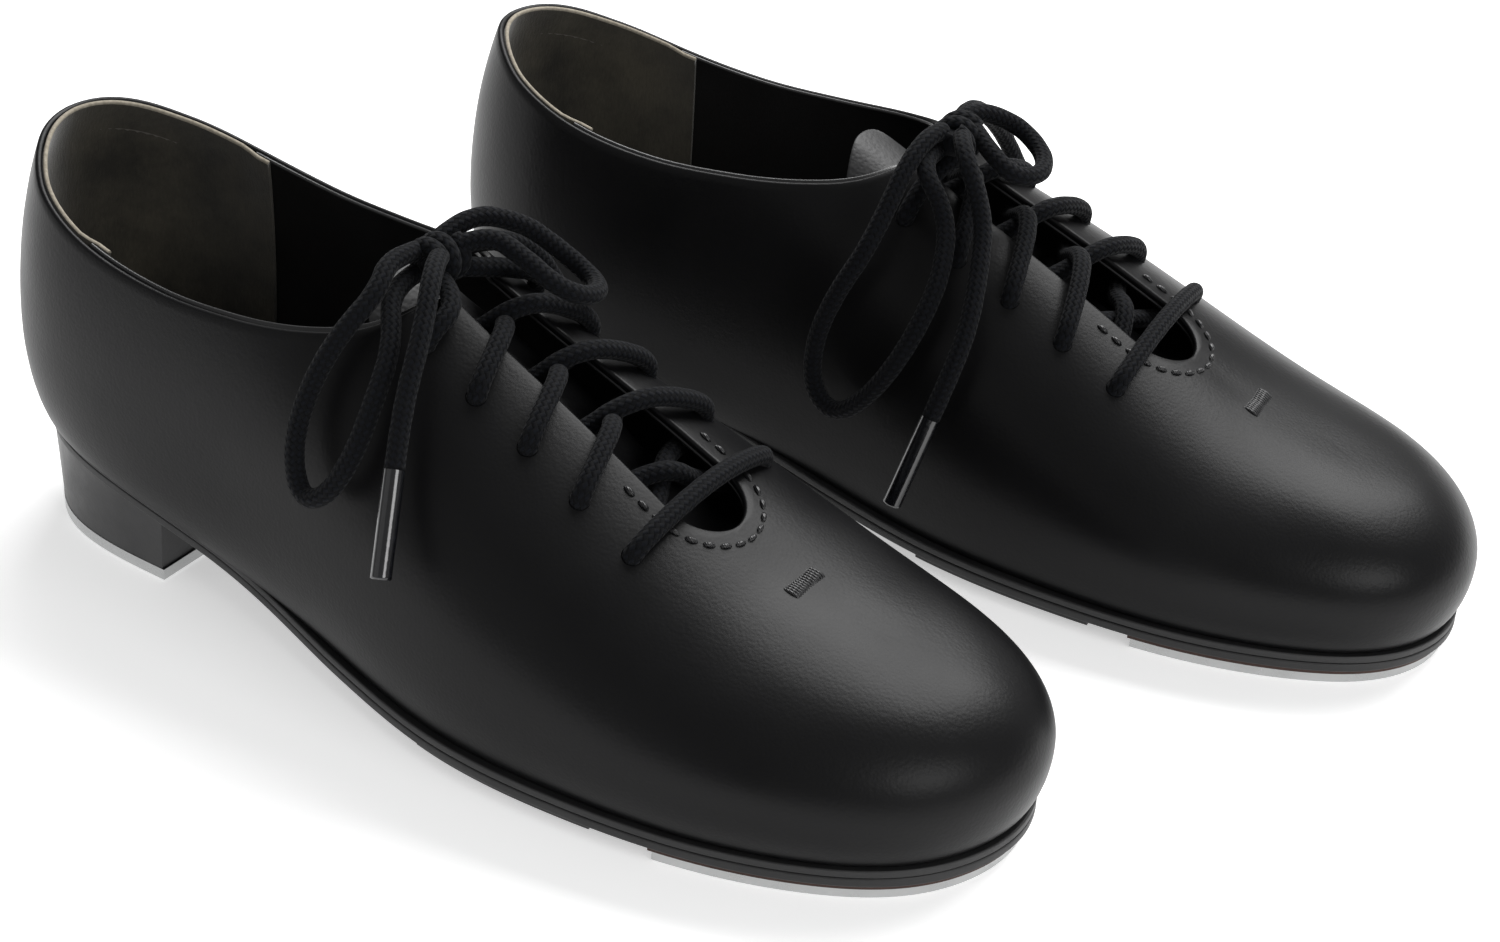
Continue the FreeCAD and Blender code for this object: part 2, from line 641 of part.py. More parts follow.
def bow_points(s):
    """Free ends of the bow. `s` is the side of the shoe the long loop hangs on."""
    c = knot_middle(s)
    n = -s

    def at(dx, dy, dz, side):
        return c.add(V(dx, dy * side, dz))

    def hang(route):
        return [over(x, s, v, lift) for x, v, lift in route]

    def lie(route):
        return [on_top(x * long, y, lift) for x, y, lift in route]

    if s < 0:
        loop_a = [at(-3.5, 12, 4, s)] + hang([
            (109.5, 0.80, 8.5), (107.3, 0.705, 7), (106, 0.61, 6.4), (106.3, 0.52, 6.4),
            (111, 0.465, 6.4), (117.5, 0.50, 6.4), (120.8, 0.585, 6.3), (120, 0.675, 6.4),
            (117.5, 0.76, 6.6)]) + [at(-2, 14, -1.5, s)]
        tail_a = [at(7, 11, 5.5, s)] + hang([(122, 0.80, 11), (126.3, 0.70, 8),
                                             (130.5, 0.62, 6.8)])
        loop_b = [at(-1, 11, 6, n)] + lie([
            (115, 11.5, 10.5), (121, 14.5, 10.5), (127, 17, 10), (132.5, 16.5, 9.5),
            (136, 12.3, 9.5), (135.5, 7, 9.5), (130.8, 4, 10), (124.5, 3.5, 10.5)])
        loop_b += [at(6.5, 8, 5, n)]
        tail_b = [at(-4.5, 13, -3.0, n)] + [over(x, n, v, lift) for x, v, lift in
                                            ((112, 0.73, 8), (118, 0.61, 7), (123, 0.49, 6.8))]
    else:
        loop_a = [at(-4, 12, 4.8, s)] + hang([
            (118, 0.67, 9.5), (113.5, 0.56, 7), (110.5, 0.455, 6.5), (112, 0.375, 6.4),
            (119, 0.36, 6.4), (126.5, 0.43, 6.4), (131.8, 0.525, 6.4), (134.3, 0.62, 6.7),
            (134.5, 0.71, 8), (130, 0.80, 9.6)]) + [at(-3.6, 14, 0, s)]
        tail_a = [at(6, 12, 5.0, s)] + hang([(137, 0.83, 12), (141.5, 0.75, 9.5),
                                             (144.5, 0.66, 7.8), (144.5, 0.565, 7),
                                             (143, 0.475, 6.8)])
        loop_b = [at(0, 9, 4, n)] + lie([
            (127.5, -7.5, 13.3), (133.5, -7.8, 12.8), (138.8, -4.6, 12.5), (140.5, 1, 12.5),
            (137, 5.6, 12.8), (131, 5.4, 13.4)])
        tail_b = [at(-4.5, 13, 2.5, n)] + [over(x, n, v, lift) for x, v, lift in
                                         ((118, 0.73, 9), (124, 0.61, 7.5), (129, 0.49, 6.8))]
    loop_a = [at(-2.4, 3, 2.4, s)] + loop_a + [at(-2.4, 3, -2.4, s)]
    loop_b = [at(-2.4, 3, 2.4, n)] + loop_b + [at(2.4, 3, 2.4, n)]
    return loop_a, [at(2.4, 3, 2.4, s)] + tail_a, loop_b, [at(-2.4, 3, -2.4, n)] + tail_b


def aglet(end, d):
    """A hard tip on the end of a lace, slightly fatter than the lace."""
    rod = Part.makeCylinder(aglet_diameter / 2, aglet_length, end, d)
    tip = [e for e in rod.Edges if e.BoundBox.Center.sub(end).Length > aglet_length - 1
           and len(e.Vertexes) == 1 and e.Length < aglet_diameter * 4]
    return rod.makeFillet(0.5, tip) if len(tip) == 1 else rod


def lace_parts(prefix, s):
    r = lace_diameter / 2
    k = knot(s)
    loop_a, tail_a, loop_b, tail_b = bow_points(s)
    threaded = cord(prefix + " threaded lace", lacing_points(s), r, k)
    return {"lace_threaded": threaded, "lace_knot": k,
            "lace_long_loop": cord(prefix + " long loop", loop_a, r, k),
            "lace_short_loop": cord(prefix + " short loop", loop_b, r, k),
            "lace_front_tail": cord(prefix + " front tail", tail_a, r, k),
            "lace_back_tail": cord(prefix + " back tail", tail_b, r, k),
            "aglet_front": aglet(tail_a[-1], tail_a[-1].sub(tail_a[-2])),
            "aglet_back": aglet(tail_b[-1], tail_b[-1].sub(tail_b[-2]))}


# ---------------------------------------------------------------- the pair
def one_shoe():
    parts = upper_parts()
    parts["tongue"] = tongue()
    sole, stem_room, head_room = sole_parts()
    parts.update(sole)
    parts["insole_board"] = parts["insole_board"].cut(stem_room).cut(head_room)
    return parts


def place(shape, left):
    shape = shape.copy()
    if left:
        shape = shape.mirror(V(0, 0, 0), V(0, 1, 0))
        shape.rotate(V(0, 0, 0), V(0, 0, 1), left_turn)
        shape.translate(V(shoe_stagger, shoe_spacing, 0))
    return shape


def save(name, shape, shift):
    shape.translate(shift)
    ok = shape.isValid()
    shape.exportStep("parts/%s.step" % name)
    b = shape.optimalBoundingBox(False, False)
    print("%-28s %s solids %d volume %.0f box %.1f %.1f %.1f" %
          (name, "ok" if ok else "BAD", len(shape.Solids), shape.Volume,
           b.XLength, b.YLength, b.ZLength))


def build():
    os.makedirs("parts", exist_ok=True)
    shared = one_shoe()
    pieces = []
    for left in (False, True):
        side = "left_" if left else "right_"
        parts = dict(shared)
        parts.update(lace_parts(side, 1 if left else -1))
        for name, shape in parts.items():
            pieces.append((side + name, place(shape, left)))
    box = FreeCAD.BoundBox()
    free = ("loop", "tail", "aglet")
    for name, shape in pieces:
        if not any(word in name for word in free):
            box.add(shape.optimalBoundingBox(False, False))
    shift = V(-box.Center.x, -box.Center.y, -box.ZMin)
    print("shift %.3f %.3f %.3f" % (shift.x, shift.y, shift.z))
    for name, shape in pieces:
        save(name, shape, shift)


build()
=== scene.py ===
import math

import bmesh
import bpy
import numpy as np
from mathutils import Matrix, Vector
from mathutils.bvhtree import BVHTree


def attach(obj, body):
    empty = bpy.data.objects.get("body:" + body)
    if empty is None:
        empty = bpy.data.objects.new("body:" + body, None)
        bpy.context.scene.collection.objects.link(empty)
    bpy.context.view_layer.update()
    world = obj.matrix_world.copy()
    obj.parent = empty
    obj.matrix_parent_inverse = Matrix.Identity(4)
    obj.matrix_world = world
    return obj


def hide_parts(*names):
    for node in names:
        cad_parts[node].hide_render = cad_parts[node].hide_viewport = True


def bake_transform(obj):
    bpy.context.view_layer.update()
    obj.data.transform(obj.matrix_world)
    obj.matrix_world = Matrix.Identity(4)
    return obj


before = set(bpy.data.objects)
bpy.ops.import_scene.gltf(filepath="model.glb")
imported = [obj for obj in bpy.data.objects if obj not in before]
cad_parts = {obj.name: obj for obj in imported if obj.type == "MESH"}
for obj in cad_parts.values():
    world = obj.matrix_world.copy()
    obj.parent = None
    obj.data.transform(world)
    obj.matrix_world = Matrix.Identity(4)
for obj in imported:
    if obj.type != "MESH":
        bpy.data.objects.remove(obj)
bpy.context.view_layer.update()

# ---------------------------------------------------------------- studio
# A roll of white paper under and behind the pair, one large soft box overhead, a strip light
# in front of the toes and a weak fill. Everything is neutral white.
studio_target = Vector((0.00759, -0.00969, 0.030))
camera_azimuth = math.radians(30.7)
camera_elevation = math.radians(31.65)
camera_roll = math.radians(4.23)
camera_distance = 0.700
camera_lens_mm = 75.6

across = Vector((math.cos(camera_azimuth), math.sin(camera_azimuth), 0))
backward = Vector((math.sin(camera_azimuth) * math.cos(camera_elevation),
                   -math.cos(camera_azimuth) * math.cos(camera_elevation),
                   math.sin(camera_elevation)))
upward = backward.cross(across)
rolled_across = across * math.cos(camera_roll) + upward * math.sin(camera_roll)
rolled_upward = upward * math.cos(camera_roll) - across * math.sin(camera_roll)
camera_data = bpy.data.cameras.new("studio_camera")
camera_data.sensor_width = 36
camera_data.lens = camera_lens_mm
camera_data.clip_start = 0.02
camera_data.clip_end = 50
camera = bpy.data.objects.new("studio_camera", camera_data)
bpy.context.scene.collection.objects.link(camera)
camera.matrix_world = Matrix.Translation(studio_target + backward * camera_distance) @ Matrix((
    rolled_across, rolled_upward, backward)).transposed().to_4x4()
bpy.context.scene.camera = camera


def linear(code):
    """Linear colour, with alpha 1, of an sRGB hex value."""
    parts = [int(code[i:i + 2], 16) / 255 for i in (1, 3, 5)]
    return tuple(c / 12.92 if c <= 0.04045 else ((c + 0.055) / 1.055) ** 2.4
                 for c in parts) + (1.0,)


def add(tree, kind, inputs=None, **settings):
    """Adds one shader node; an input is a value, or the output socket that feeds it."""
    made = tree.nodes.new("ShaderNode" + kind)
    for key, value in settings.items():
        setattr(made, key, value)
    for key, value in (inputs or {}).items():
        if isinstance(value, bpy.types.NodeSocket):
            tree.links.new(value, made.inputs[key])
        else:
            made.inputs[key].default_value = value
    return made


def start_material(name):
    """An empty material, its node tree and the place on the object in metres."""
    material = bpy.data.materials.new(name)
    material.use_nodes = True
    material.node_tree.nodes.clear()
    tree = material.node_tree
    return material, tree, add(tree, "TexCoord").outputs["Object"]


def scale_for(size_mm):
    """Texture scale that draws features of a real size in mm."""
    return 1000 / size_mm


def soft_box(name, place, aim, size, watts):
    """A rectangular studio light at a place, turned to its aim, all in metres."""
    data = bpy.data.lights.new(name, "AREA")
    data.shape = "RECTANGLE"
    data.size, data.size_y = size
    data.energy = watts
    light = bpy.data.objects.new(name, data)
    bpy.context.scene.collection.objects.link(light)
    light.location = place
    light.rotation_mode = "QUATERNION"
    light.rotation_quaternion = (Vector(aim) - Vector(place)).to_track_quat("-Z", "Y")


soft_box("overhead_box", (-0.10, 0.75, 1.05), (0.02, 0.0, 0.02), (1.3, 0.8), 27.0)
soft_box("toe_strip", (1.15, -0.35, 0.75), (0.05, 0.0, 0.04), (0.7, 0.5), 6.0)
soft_box("side_fill", (-0.6, -1.3, 0.7), (0.0, 0.0, 0.04), (1.2, 0.8), 0.7)
world = bpy.data.worlds.new("studio_air")
world.use_nodes = True
world.node_tree.nodes["Background"].inputs["Color"].default_value = (1, 1, 1, 1)
world.node_tree.nodes["Background"].inputs["Strength"].default_value = 0.3
bpy.context.scene.world = world
bpy.context.scene.view_settings.view_transform = "Standard"

paper_half_width, paper_drop = 8, 0.0002
floor_mesh = bpy.data.meshes.new("paper_floor")
floor_mesh.from_pydata([(x * paper_half_width, y * paper_half_width, -paper_drop)
                        for x, y in ((-1, -1), (1, -1), (1, 1), (-1, 1))],
                       [], [(0, 1, 2, 3)])
floor = bpy.data.objects.new("paper_floor", floor_mesh)
bpy.context.scene.collection.objects.link(floor)
# Uncoated paper: matt white with a faint tooth of 1.1 mm, and lit evenly enough to glow.
paper, tree, where = start_material("white_seamless_paper")
tooth = add(tree, "TexNoise", {"Vector": where, "Scale": scale_for(1.11), "Detail": 3.0})
bumps = add(tree, "Bump", {
    "Height": tooth.outputs["Fac"], "Strength": 0.05, "Distance": 0.0002})
surface = add(tree, "BsdfPrincipled", {
    "Base Color": linear("#f4f4f4"), "Roughness": 0.9, "Specular IOR Level": 0.1,
    "Emission Color": (1, 1, 1, 1), "Emission Strength": 0.48, "Normal": bumps.outputs[0]})
add(tree, "OutputMaterial", {"Surface": surface.outputs[0]})
floor_mesh.materials.append(paper)

# ---------------------------------------------------------------- upper
# One piece of smooth coated black leather, 1.6 mm, pulled over a last and turned in under the
# insole. The collar and the slit at the instep are folded to a round edge, and five pairs of
# eyelets are punched. All sizes are mm on the right shoe: x from the back of the heel to the
# toe, y to the inside of the foot, z up; the left shoe is its mirror image.
row_origin = (150.071, 61.393)
shoe_spacing = 105.0
shoe_stagger = 43.0
left_turn = math.radians(5.8)
upper_thickness = 1.6
fore_level = 8.0
seat_level = 27.2
ball_x = 145.0
seat_x = 5.0
arch_delay = 1.15
throat_top_x = 118.0
throat_end_x = 186.0
throat_top_half = 6.5
throat_end_half = 10.0
first_eyelet_x = 177.0
last_eyelet_x = 121.0
eyelet_pairs = 5
# x; half width outside and inside; height of the widest line over the featherline; share by
# which the featherline tucks in; x and height of the ridge that this line climbs to.
stations = [
    (258.0, -3.0, 3.0, 12.0, 0.12, 221.0, 33.0),
    (251.0, 19.0, 23.0, 12.0, 0.12, 219.5, 33.5),
    (233.0, 35.0, 36.0, 12.5, 0.12, 213.0, 35.5),
    (206.0, 45.0, 43.0, 14.0, 0.10, 199.0, 39.5),
    (176.0, 48.5, 43.5, 17.0, 0.08, 174.0, 52.0),
    (145.0, 47.5, 40.0, 21.0, 0.08, 145.0, 66.0),
    (113.0, 41.5, 33.5, 26.0, 0.13, 113.0, 79.5),
    (81.0, 36.5, 30.5, 28.5, 0.16, 81.0, 92.5),
    (45.0, 34.0, 31.0, 24.5, 0.13, 56.0, 100.0),
    (15.0, 25.5, 23.5, 22.9, 0.12, 48.0, 105.5),
    (0.0, 0.0, 0.0, 24.0, 0.12, 45.0, 107.0),
]
# x and height over the featherline.
collar = [(-14.0, 70.0), (0.0, 65.0), (9.0, 64.0), (22.0, 59.3), (40.0, 56.7), (60.0, 58.2),
          (80.0, 63.0), (98.0, 68.6), (110.0, 73.2), (119.0, 79.2), (127.0, 89.0)]
collar_tilt = 0.03
collar_front_x = 126.5
throat_back_x = 92
throat_lowest = 33
cut_corner = 4.5
waist_x, waist_blend = 65, 50
lower_share = 0.35
start_angle = math.radians(25.0)


def soft_step(t):
    """Smooth rise from 0 to 1 while t goes from 0 to 1."""
    t = min(1.0, max(0.0, t))
    return t * t * (3 - 2 * t)


def halved(low, high, steps, is_low):
    """Closes in on the value at which is_low turns from true to false."""
    for _ in range(steps):
        middle = (low + high) / 2
        if is_low(middle):
            low = middle
        else:
            high = middle
    return low, high


def bottom(x):
    """Featherline height: flat under the toes, rising through the arch to the heel."""
    t = min(1.0, max(0.0, (ball_x - x) / (ball_x - seat_x)))
    return fore_level + (seat_level - fore_level) * soft_step(t ** arch_delay)


def ring(values):
    """Control values of the smooth closed curve through evenly spaced values.

    Each round of corrections brings the curve nearer to the values.
    """
    n = len(values)
    c = list(values)
    for _ in range(80):
        c = [c[i] + values[i] - (c[i - 1] + 4 * c[i] + c[(i + 1) % n]) / 6 for i in range(n)]
    return c


half_ring = stations[1:-1]
loop_stations = [(s, -1) for s in stations] + [(s, 1) for s in half_ring[::-1]]
control = [ring(values) for values in zip(*[
    (s[0], -s[1] if side < 0 else s[2]) + s[3:] for s, side in loop_stations])]
COUNT = len(control[0])
HALF = COUNT // 2


def station(u):
    """Shape values at u: 0 toe tip, HALF heel back, COUNT toe tip again."""
    i = int(math.floor(u))
    t = u - i
    b = ((1 - t) ** 3 / 6, (3 * t ** 3 - 6 * t ** 2 + 4) / 6,
         (-3 * t ** 3 + 3 * t ** 2 + 3 * t + 1) / 6, t ** 3 / 6)
    return [sum(b[j] * c[(i - 1 + j) % COUNT] for j in range(4)) for c in control]


def skin(u, v, inset=0.0):
    """A point of the upper's surface, or of one lying `inset` inside it."""
    x, y, h, k, xt, ht = station(u)
    if inset:
        a = station(u + 0.01)
        b = station(u - 0.01)
        dx, dy = a[0] - b[0], a[1] - b[1]
        size = math.hypot(dx, dy)
        x, y = x + inset * dy / size, y - inset * dx / size
    zt = bottom(xt) + ht - inset
    z = bottom(x) + h
    bx = x + (xt - x) * k
    by = y * (1 - k)
    bz = bottom(bx) + inset - 1.0
    if v < lower_share:
        s0, c0 = math.sin(start_angle), math.cos(start_angle)
        a = start_angle + v / lower_share * (math.pi / 2 - start_angle)
        out = (math.sin(a) - s0) / (1 - s0)
        up = (c0 - math.cos(a)) / c0
        return Vector((bx + (x - bx) * out, by + (y - by) * out, bz + (z - bz) * up))
    a = (v - lower_share) / (1 - lower_share) * math.pi / 2
    c = 1 - math.cos(a)
    return Vector((x + (xt - x) * c, y * (1 - c), z + (zt - z) * math.sin(a)))


def normal(u, v):
    """The outward direction of the upper's surface."""
    e = 0.004
    du = skin(u + e, v) - skin(u - e, v)
    dv = skin(u, min(v + e, 0.9999)) - skin(u, v - e)
    n = dv.cross(du).normalized()
    return -n if n.z < 0 and v > 0.9 else n


def find_u(x, v, side):
    """The u on one side whose meridian passes x at height share v."""
    low, high = (0.6, HALF - 0.6) if side < 0 else (HALF + 0.6, COUNT - 0.6)
    return sum(halved(low, high, 26, lambda u: (skin(u, v).x > x) == (side < 0))) / 2


def over(x, side, v, lift):
    """A point standing `lift` off the upper, at x and height share v on one side."""
    u = find_u(x, v, side)
    return skin(u, v) + normal(u, v) * lift


def on_top(x, y, lift):
    """A point standing `lift` off the upper above plan position x, y near the ridge."""
    side = -1 if y < 0 else 1
    y = y if abs(y) > 0.02 else 0.02 * side
    v = halved(lower_share, 0.9995, 24,
               lambda share: abs(skin(find_u(x, share, side), share).y) > abs(y))[0]
    u = find_u(x, v, side)
    n = normal(u, v)
    if abs(y) < 1.0:
        n = Vector((n.x, n.y * abs(y), n.z)).normalized()
    return skin(u, v) + n * lift


def throat_half(x):
    """Half the width of the slit, which narrows toward the collar."""
    bottom_x = throat_end_x - throat_end_half
    t = (bottom_x - x) / (bottom_x - throat_top_x)
    return throat_end_half + (throat_top_half - throat_end_half) * max(-0.2, t)


eyelet_margin = 14.0
eyelet_drift = 2.0


def eyelet(i, side):
    """Plan position of an eyelet, counted from the toe end."""
    t = i / (eyelet_pairs - 1.0)
    x = first_eyelet_x + (last_eyelet_x - first_eyelet_x) * t
    return x, side * (throat_half(x) + eyelet_margin - eyelet_drift * t)


def collar_height(x):
    """Smooth curve through the collar's points, above the featherline."""
    i = max(1, min(len(collar) - 3, sum(1 for c in collar if c[0] <= x) - 1))
    (x0, a), (x1, b), (x2, c), (x3, d) = collar[i - 1:i + 3]
    t = (x - x1) / (x2 - x1)
    m1 = (c - a) / (x2 - x0) * (x2 - x1)
    m2 = (d - b) / (x3 - x1) * (x2 - x1)
    return ((2 * t ** 3 - 3 * t ** 2 + 1) * b + (t ** 3 - 2 * t ** 2 + t) * m1
            + (3 * t ** 2 - 2 * t ** 3) * c + (t ** 3 - t ** 2) * m2)


NOT_CUT = 99.0


def kept(p, setback):
    """How far a point is inside the trimmed edge of collar and throat, its corner rounded."""
    x, y, z = p
    down = NOT_CUT
    if x < collar_front_x:
        down = bottom(x) + collar_height(x) + collar_tilt * y - z
    round_x = throat_end_x - throat_end_half
    away = abs(y) - throat_half(x) if x < round_x else math.hypot(x - round_x, y) - throat_end_half
    if z < throat_lowest or x < throat_back_x:
        away = NOT_CUT
    down, away = down - setback, away - setback
    if down < cut_corner and away < cut_corner:
        return cut_corner - math.hypot(cut_corner - down, cut_corner - away)
    return min(down, away)


def trimmed(u, inset, setback):
    """Height share at which the meridian u meets the trimmed edge, or 1 over the vamp."""
    last_v = first_v = 0.45
    steps = 22
    for i in range(1, steps + 1):
        v = first_v + (1 - first_v) * i / steps
        if kept(skin(u, v, inset), setback) < 0:
            return halved(last_v, v, 14,
                          lambda share: kept(skin(u, share, inset), setback) >= 0)[0]
        last_v = v
    return 1.0


def from_floor(u, inset, height):
    """Height share at which the meridian u stands `height` above the featherline."""
    def is_lower(v):
        p = skin(u, v, inset)
        return p.z - bottom(p.x) < height
    return halved(0.0, 0.3, 18, is_lower)[1]


def edge(u, offset, reach=0.0):
    """Plan point of the featherline moved outward; `reach` is added round the forepart."""
    def feather(w):
        x, y, h, k, xt, ht = station(w)
        return x + (xt - x) * k, y * (1 - k)
    p, a, b = feather(u), feather(u + 0.02), feather(u - 0.02)
    dx, dy = a[0] - b[0], a[1] - b[1]
    size = math.hypot(dx, dy)
    d = offset + reach * soft_step((p[0] - waist_x) / waist_blend)
    return p[0] - d * dy / size, p[1] + d * dx / size


def place(p, left):
    """A point of the right shoe, in mm, as a point of either shoe in the frame."""
    x, y, z = p
    if left:
        x, y = (math.cos(left_turn) * x + math.sin(left_turn) * y + shoe_stagger,
                math.sin(left_turn) * x - math.cos(left_turn) * y + shoe_spacing)
    return Vector(((x - row_origin[0]) / 1000, (y - row_origin[1]) / 1000, z / 1000))


def weld(points, faces):
    """Joins points that coincide and turns every face outward."""
    bm = bmesh.new()
    made = [bm.verts.new(p) for p in points]
    for f in faces:
        bm.faces.new([made[i] for i in f])
    bmesh.ops.remove_doubles(bm, verts=bm.verts, dist=0.012)
    bmesh.ops.dissolve_degenerate(bm, edges=bm.edges, dist=0.005)
    bmesh.ops.recalc_face_normals(bm, faces=bm.faces)
    bm.verts.index_update()
    result = ([v.co.copy() for v in bm.verts], [[v.index for v in f.verts] for f in bm.faces])
    bm.free()
    return result


crisp_edge = math.radians(45)


def build(name, shape, left, material):
    """One piece of one shoe from points and faces given on the right shoe."""
    points, faces = shape
    mesh = bpy.data.meshes.new(name)
    mesh.from_pydata([place(p, left) for p in points], [],
                     [f[::-1] for f in faces] if left else faces)
    mesh.validate()
    mesh.polygons.foreach_set("use_smooth", [True] * len(mesh.polygons))
    mesh.set_sharp_from_angle(angle=crisp_edge)
    mesh.materials.append(material)
    piece = bpy.data.objects.new(name, mesh)
    bpy.context.scene.collection.objects.link(piece)
    return piece


def flex(piece):
    """Bakes the piece's placement into its points."""
    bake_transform(piece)


def for_both(name, shape, material, nodes):
    """The same piece in both shoes, standing for its CAD nodes, which are hidden."""
    for left in (False, True):
        side = "left_" if left else "right_"
        piece = build(side + name, shape, left, material)
        flex(piece)
        if nodes:
            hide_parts(*[side + node for node in nodes])


def meridians(coarse, fine, spots):
    """Values of u down one side, closer together near the given ones."""
    us = [0.0]
    while us[-1] < HALF - 1e-6:
        near = min(max(0.0, a - us[-1], us[-1] - b) for a, b in spots)
        us.append(us[-1] + (fine if near < 0.05 else coarse))
    us[-1] = float(HALF)
    return us


rim_steps = 7


def shell(us, low, high, inset, depth, rows, turned_in=0.0):
    """A curved layer between two insets, its trimmed edge rounded, its foot closed.

    A meridian whose high share is 1 meets its mirror image over the vamp.
    """
    closed = us[-1] - us[0] > COUNT - 0.5
    points, faces = [], []
    n = len(us)
    outer, inner = [], []
    ends = [high(u) for u in us]
    for u, b in zip(us, ends):
        for grid, extra in ((outer, 0.0), (inner, depth)):
            a = low(u, inset(0.0, u) + extra, extra)
            line = []
            for j in range(rows + 1):
                share = j / rows
                line.append(len(points))
                points.append(skin(u, a + (b - a) * share, inset(share, u) + extra))
            grid.append(line)
    pairs = [(i, (i + 1) % n) for i in range(n if closed else n - 1)]
    feet = []
    for i in range(n):
        foot = [outer[i][0]]
        if turned_in:
            x, y = edge(us[i], -turned_in)
            foot.append(len(points))
            points.append(Vector((x, y, bottom(x))))
            foot.append(len(points))
            points.append(Vector((x, y, bottom(x) + depth)))
        feet.append(foot + [inner[i][0]])
    for i, k in pairs:
        for j in range(rows):
            faces.append((outer[i][j], outer[k][j], outer[k][j + 1], outer[i][j + 1]))
            faces.append((inner[i][j], inner[i][j + 1], inner[k][j + 1], inner[k][j]))
        for j in range(len(feet[i]) - 1):
            faces.append((feet[i][j], feet[i][j + 1], feet[k][j + 1], feet[k][j]))
    open_ones = [i for i in range(n) if ends[i] < 1.0]
    first, last = open_ones[0] - 1, open_ones[-1] + 1
    loop = [i for i in range(first, last + 1) if 0 <= i < n]
    rims = {}
    for m, i in enumerate(loop):
        a, b = points[outer[i][-1]], points[inner[i][-1]]
        back = points[outer[loop[m - 1 if m > 0 else (-2 if closed else 0)]][-1]]
        ahead = points[outer[loop[m + 1 if m < len(loop) - 1 else (1 if closed else m)]][-1]]
        if not closed and ends[i] >= 1.0:
            other = ahead if m == 0 else back
            back, ahead = Vector((other.x, -other.y, other.z)), other
        out = (ahead - back).cross(a - b).normalized()
        guide = Vector((-1, 0, 0)) if ends[i] >= 1.0 else a - points[outer[i][-2]]
        out = -out if out.dot(guide) < 0 else out
        line = [outer[i][-1]]
        for step in range(1, rim_steps):
            angle = math.pi * step / rim_steps
            line.append(len(points))
            points.append((a + b) / 2 + (a - b) / 2 * math.cos(angle)
                          + out * (a - b).length / 2 * math.sin(angle))
        rims[i] = line + [inner[i][-1]]
    for i, k in zip(loop[:-1], loop[1:]):
        for j in range(rim_steps):
            faces.append((rims[i][j], rims[i][j + 1], rims[k][j + 1], rims[k][j]))
    if not closed:
        for i in (0, n - 1):
            for j in range(rows):
                faces.append((outer[i][j], outer[i][j + 1], inner[i][j + 1], inner[i][j]))
            if i in rims:
                faces.append(tuple(rims[i]))
    return points, faces


def ironed(shape):
    """Irons out the pucker over the toe, where the lines of the surface run together."""
    points, faces = shape
    tree = BVHTree.FromPolygons(points, faces)
    first_x, first_y, rows, columns = 188, -32, 60, 65
    middle_x, reach, fade, lowest, above = 218, 26, 14, 30.0, 150
    high = np.full((rows, columns), lowest)
    for i in range(rows):
        for j in range(columns):
            hit = tree.ray_cast(Vector((first_x + i, first_y + j, above)),
                                Vector((0, 0, -1)))[0]
            if hit:
                high[i, j] = hit.z
    level = high.copy()
    for _ in range(90):
        level[1:-1, 1:-1] = (2 * level[1:-1, 1:-1] + level[2:, 1:-1] + level[:-2, 1:-1]
                             + level[1:-1, 2:] + level[1:-1, :-2]) / 6
    lift = level - high
    result = []
    for p in points:
        away = math.hypot(p.x - middle_x, p.y)
        if away < reach and p.z > lowest:
            i, j = int(p.x - first_x), int(math.floor(p.y - first_y))
            a, b = p.x - first_x - i, p.y - first_y - j
            rise = ((1 - a) * ((1 - b) * lift[i, j] + b * lift[i, j + 1])
                    + a * ((1 - b) * lift[i + 1, j] + b * lift[i + 1, j + 1]))
            p = p + Vector((0, 0, rise * soft_step((reach - away) / fade)))
        result.append(p)
    return result, faces


def punched(shape, radius):
    """The shape with the ten eyelets punched through it."""
    points, faces = shape
    above, below = 5.0, 7.0
    mesh = bpy.data.meshes.new("blank")
    mesh.from_pydata(points, [], faces)
    blank = bpy.data.objects.new("blank", mesh)
    bm = bmesh.new()
    for i in range(eyelet_pairs):
        for side in (-1, 1):
            x, y = eyelet(i, side)
            a, b = on_top(x, y, above), on_top(x, y, -below)
            turn = (a - b).to_track_quat("Z", "Y").to_matrix().to_4x4()
            bmesh.ops.create_cone(bm, cap_ends=True, segments=28, radius1=radius, radius2=radius,
                                  depth=(a - b).length,
                                  matrix=Matrix.Translation((a + b) / 2) @ turn)
    punch_mesh = bpy.data.meshes.new("punch")
    bm.to_mesh(punch_mesh)
    bm.free()
    punch = bpy.data.objects.new("punch", punch_mesh)
    for o in (blank, punch):
        bpy.context.scene.collection.objects.link(o)
    cut = blank.modifiers.new("cut", "BOOLEAN")
    cut.operation = "DIFFERENCE"
    cut.solver = "EXACT"
    cut.object = punch
    done = bpy.data.meshes.new_from_object(
        blank.evaluated_get(bpy.context.evaluated_depsgraph_get()))
    result = ([v.co.copy() for v in done.vertices], [list(p.vertices) for p in done.polygons])
    for o in (blank, punch):
        bpy.data.objects.remove(o)
    return result


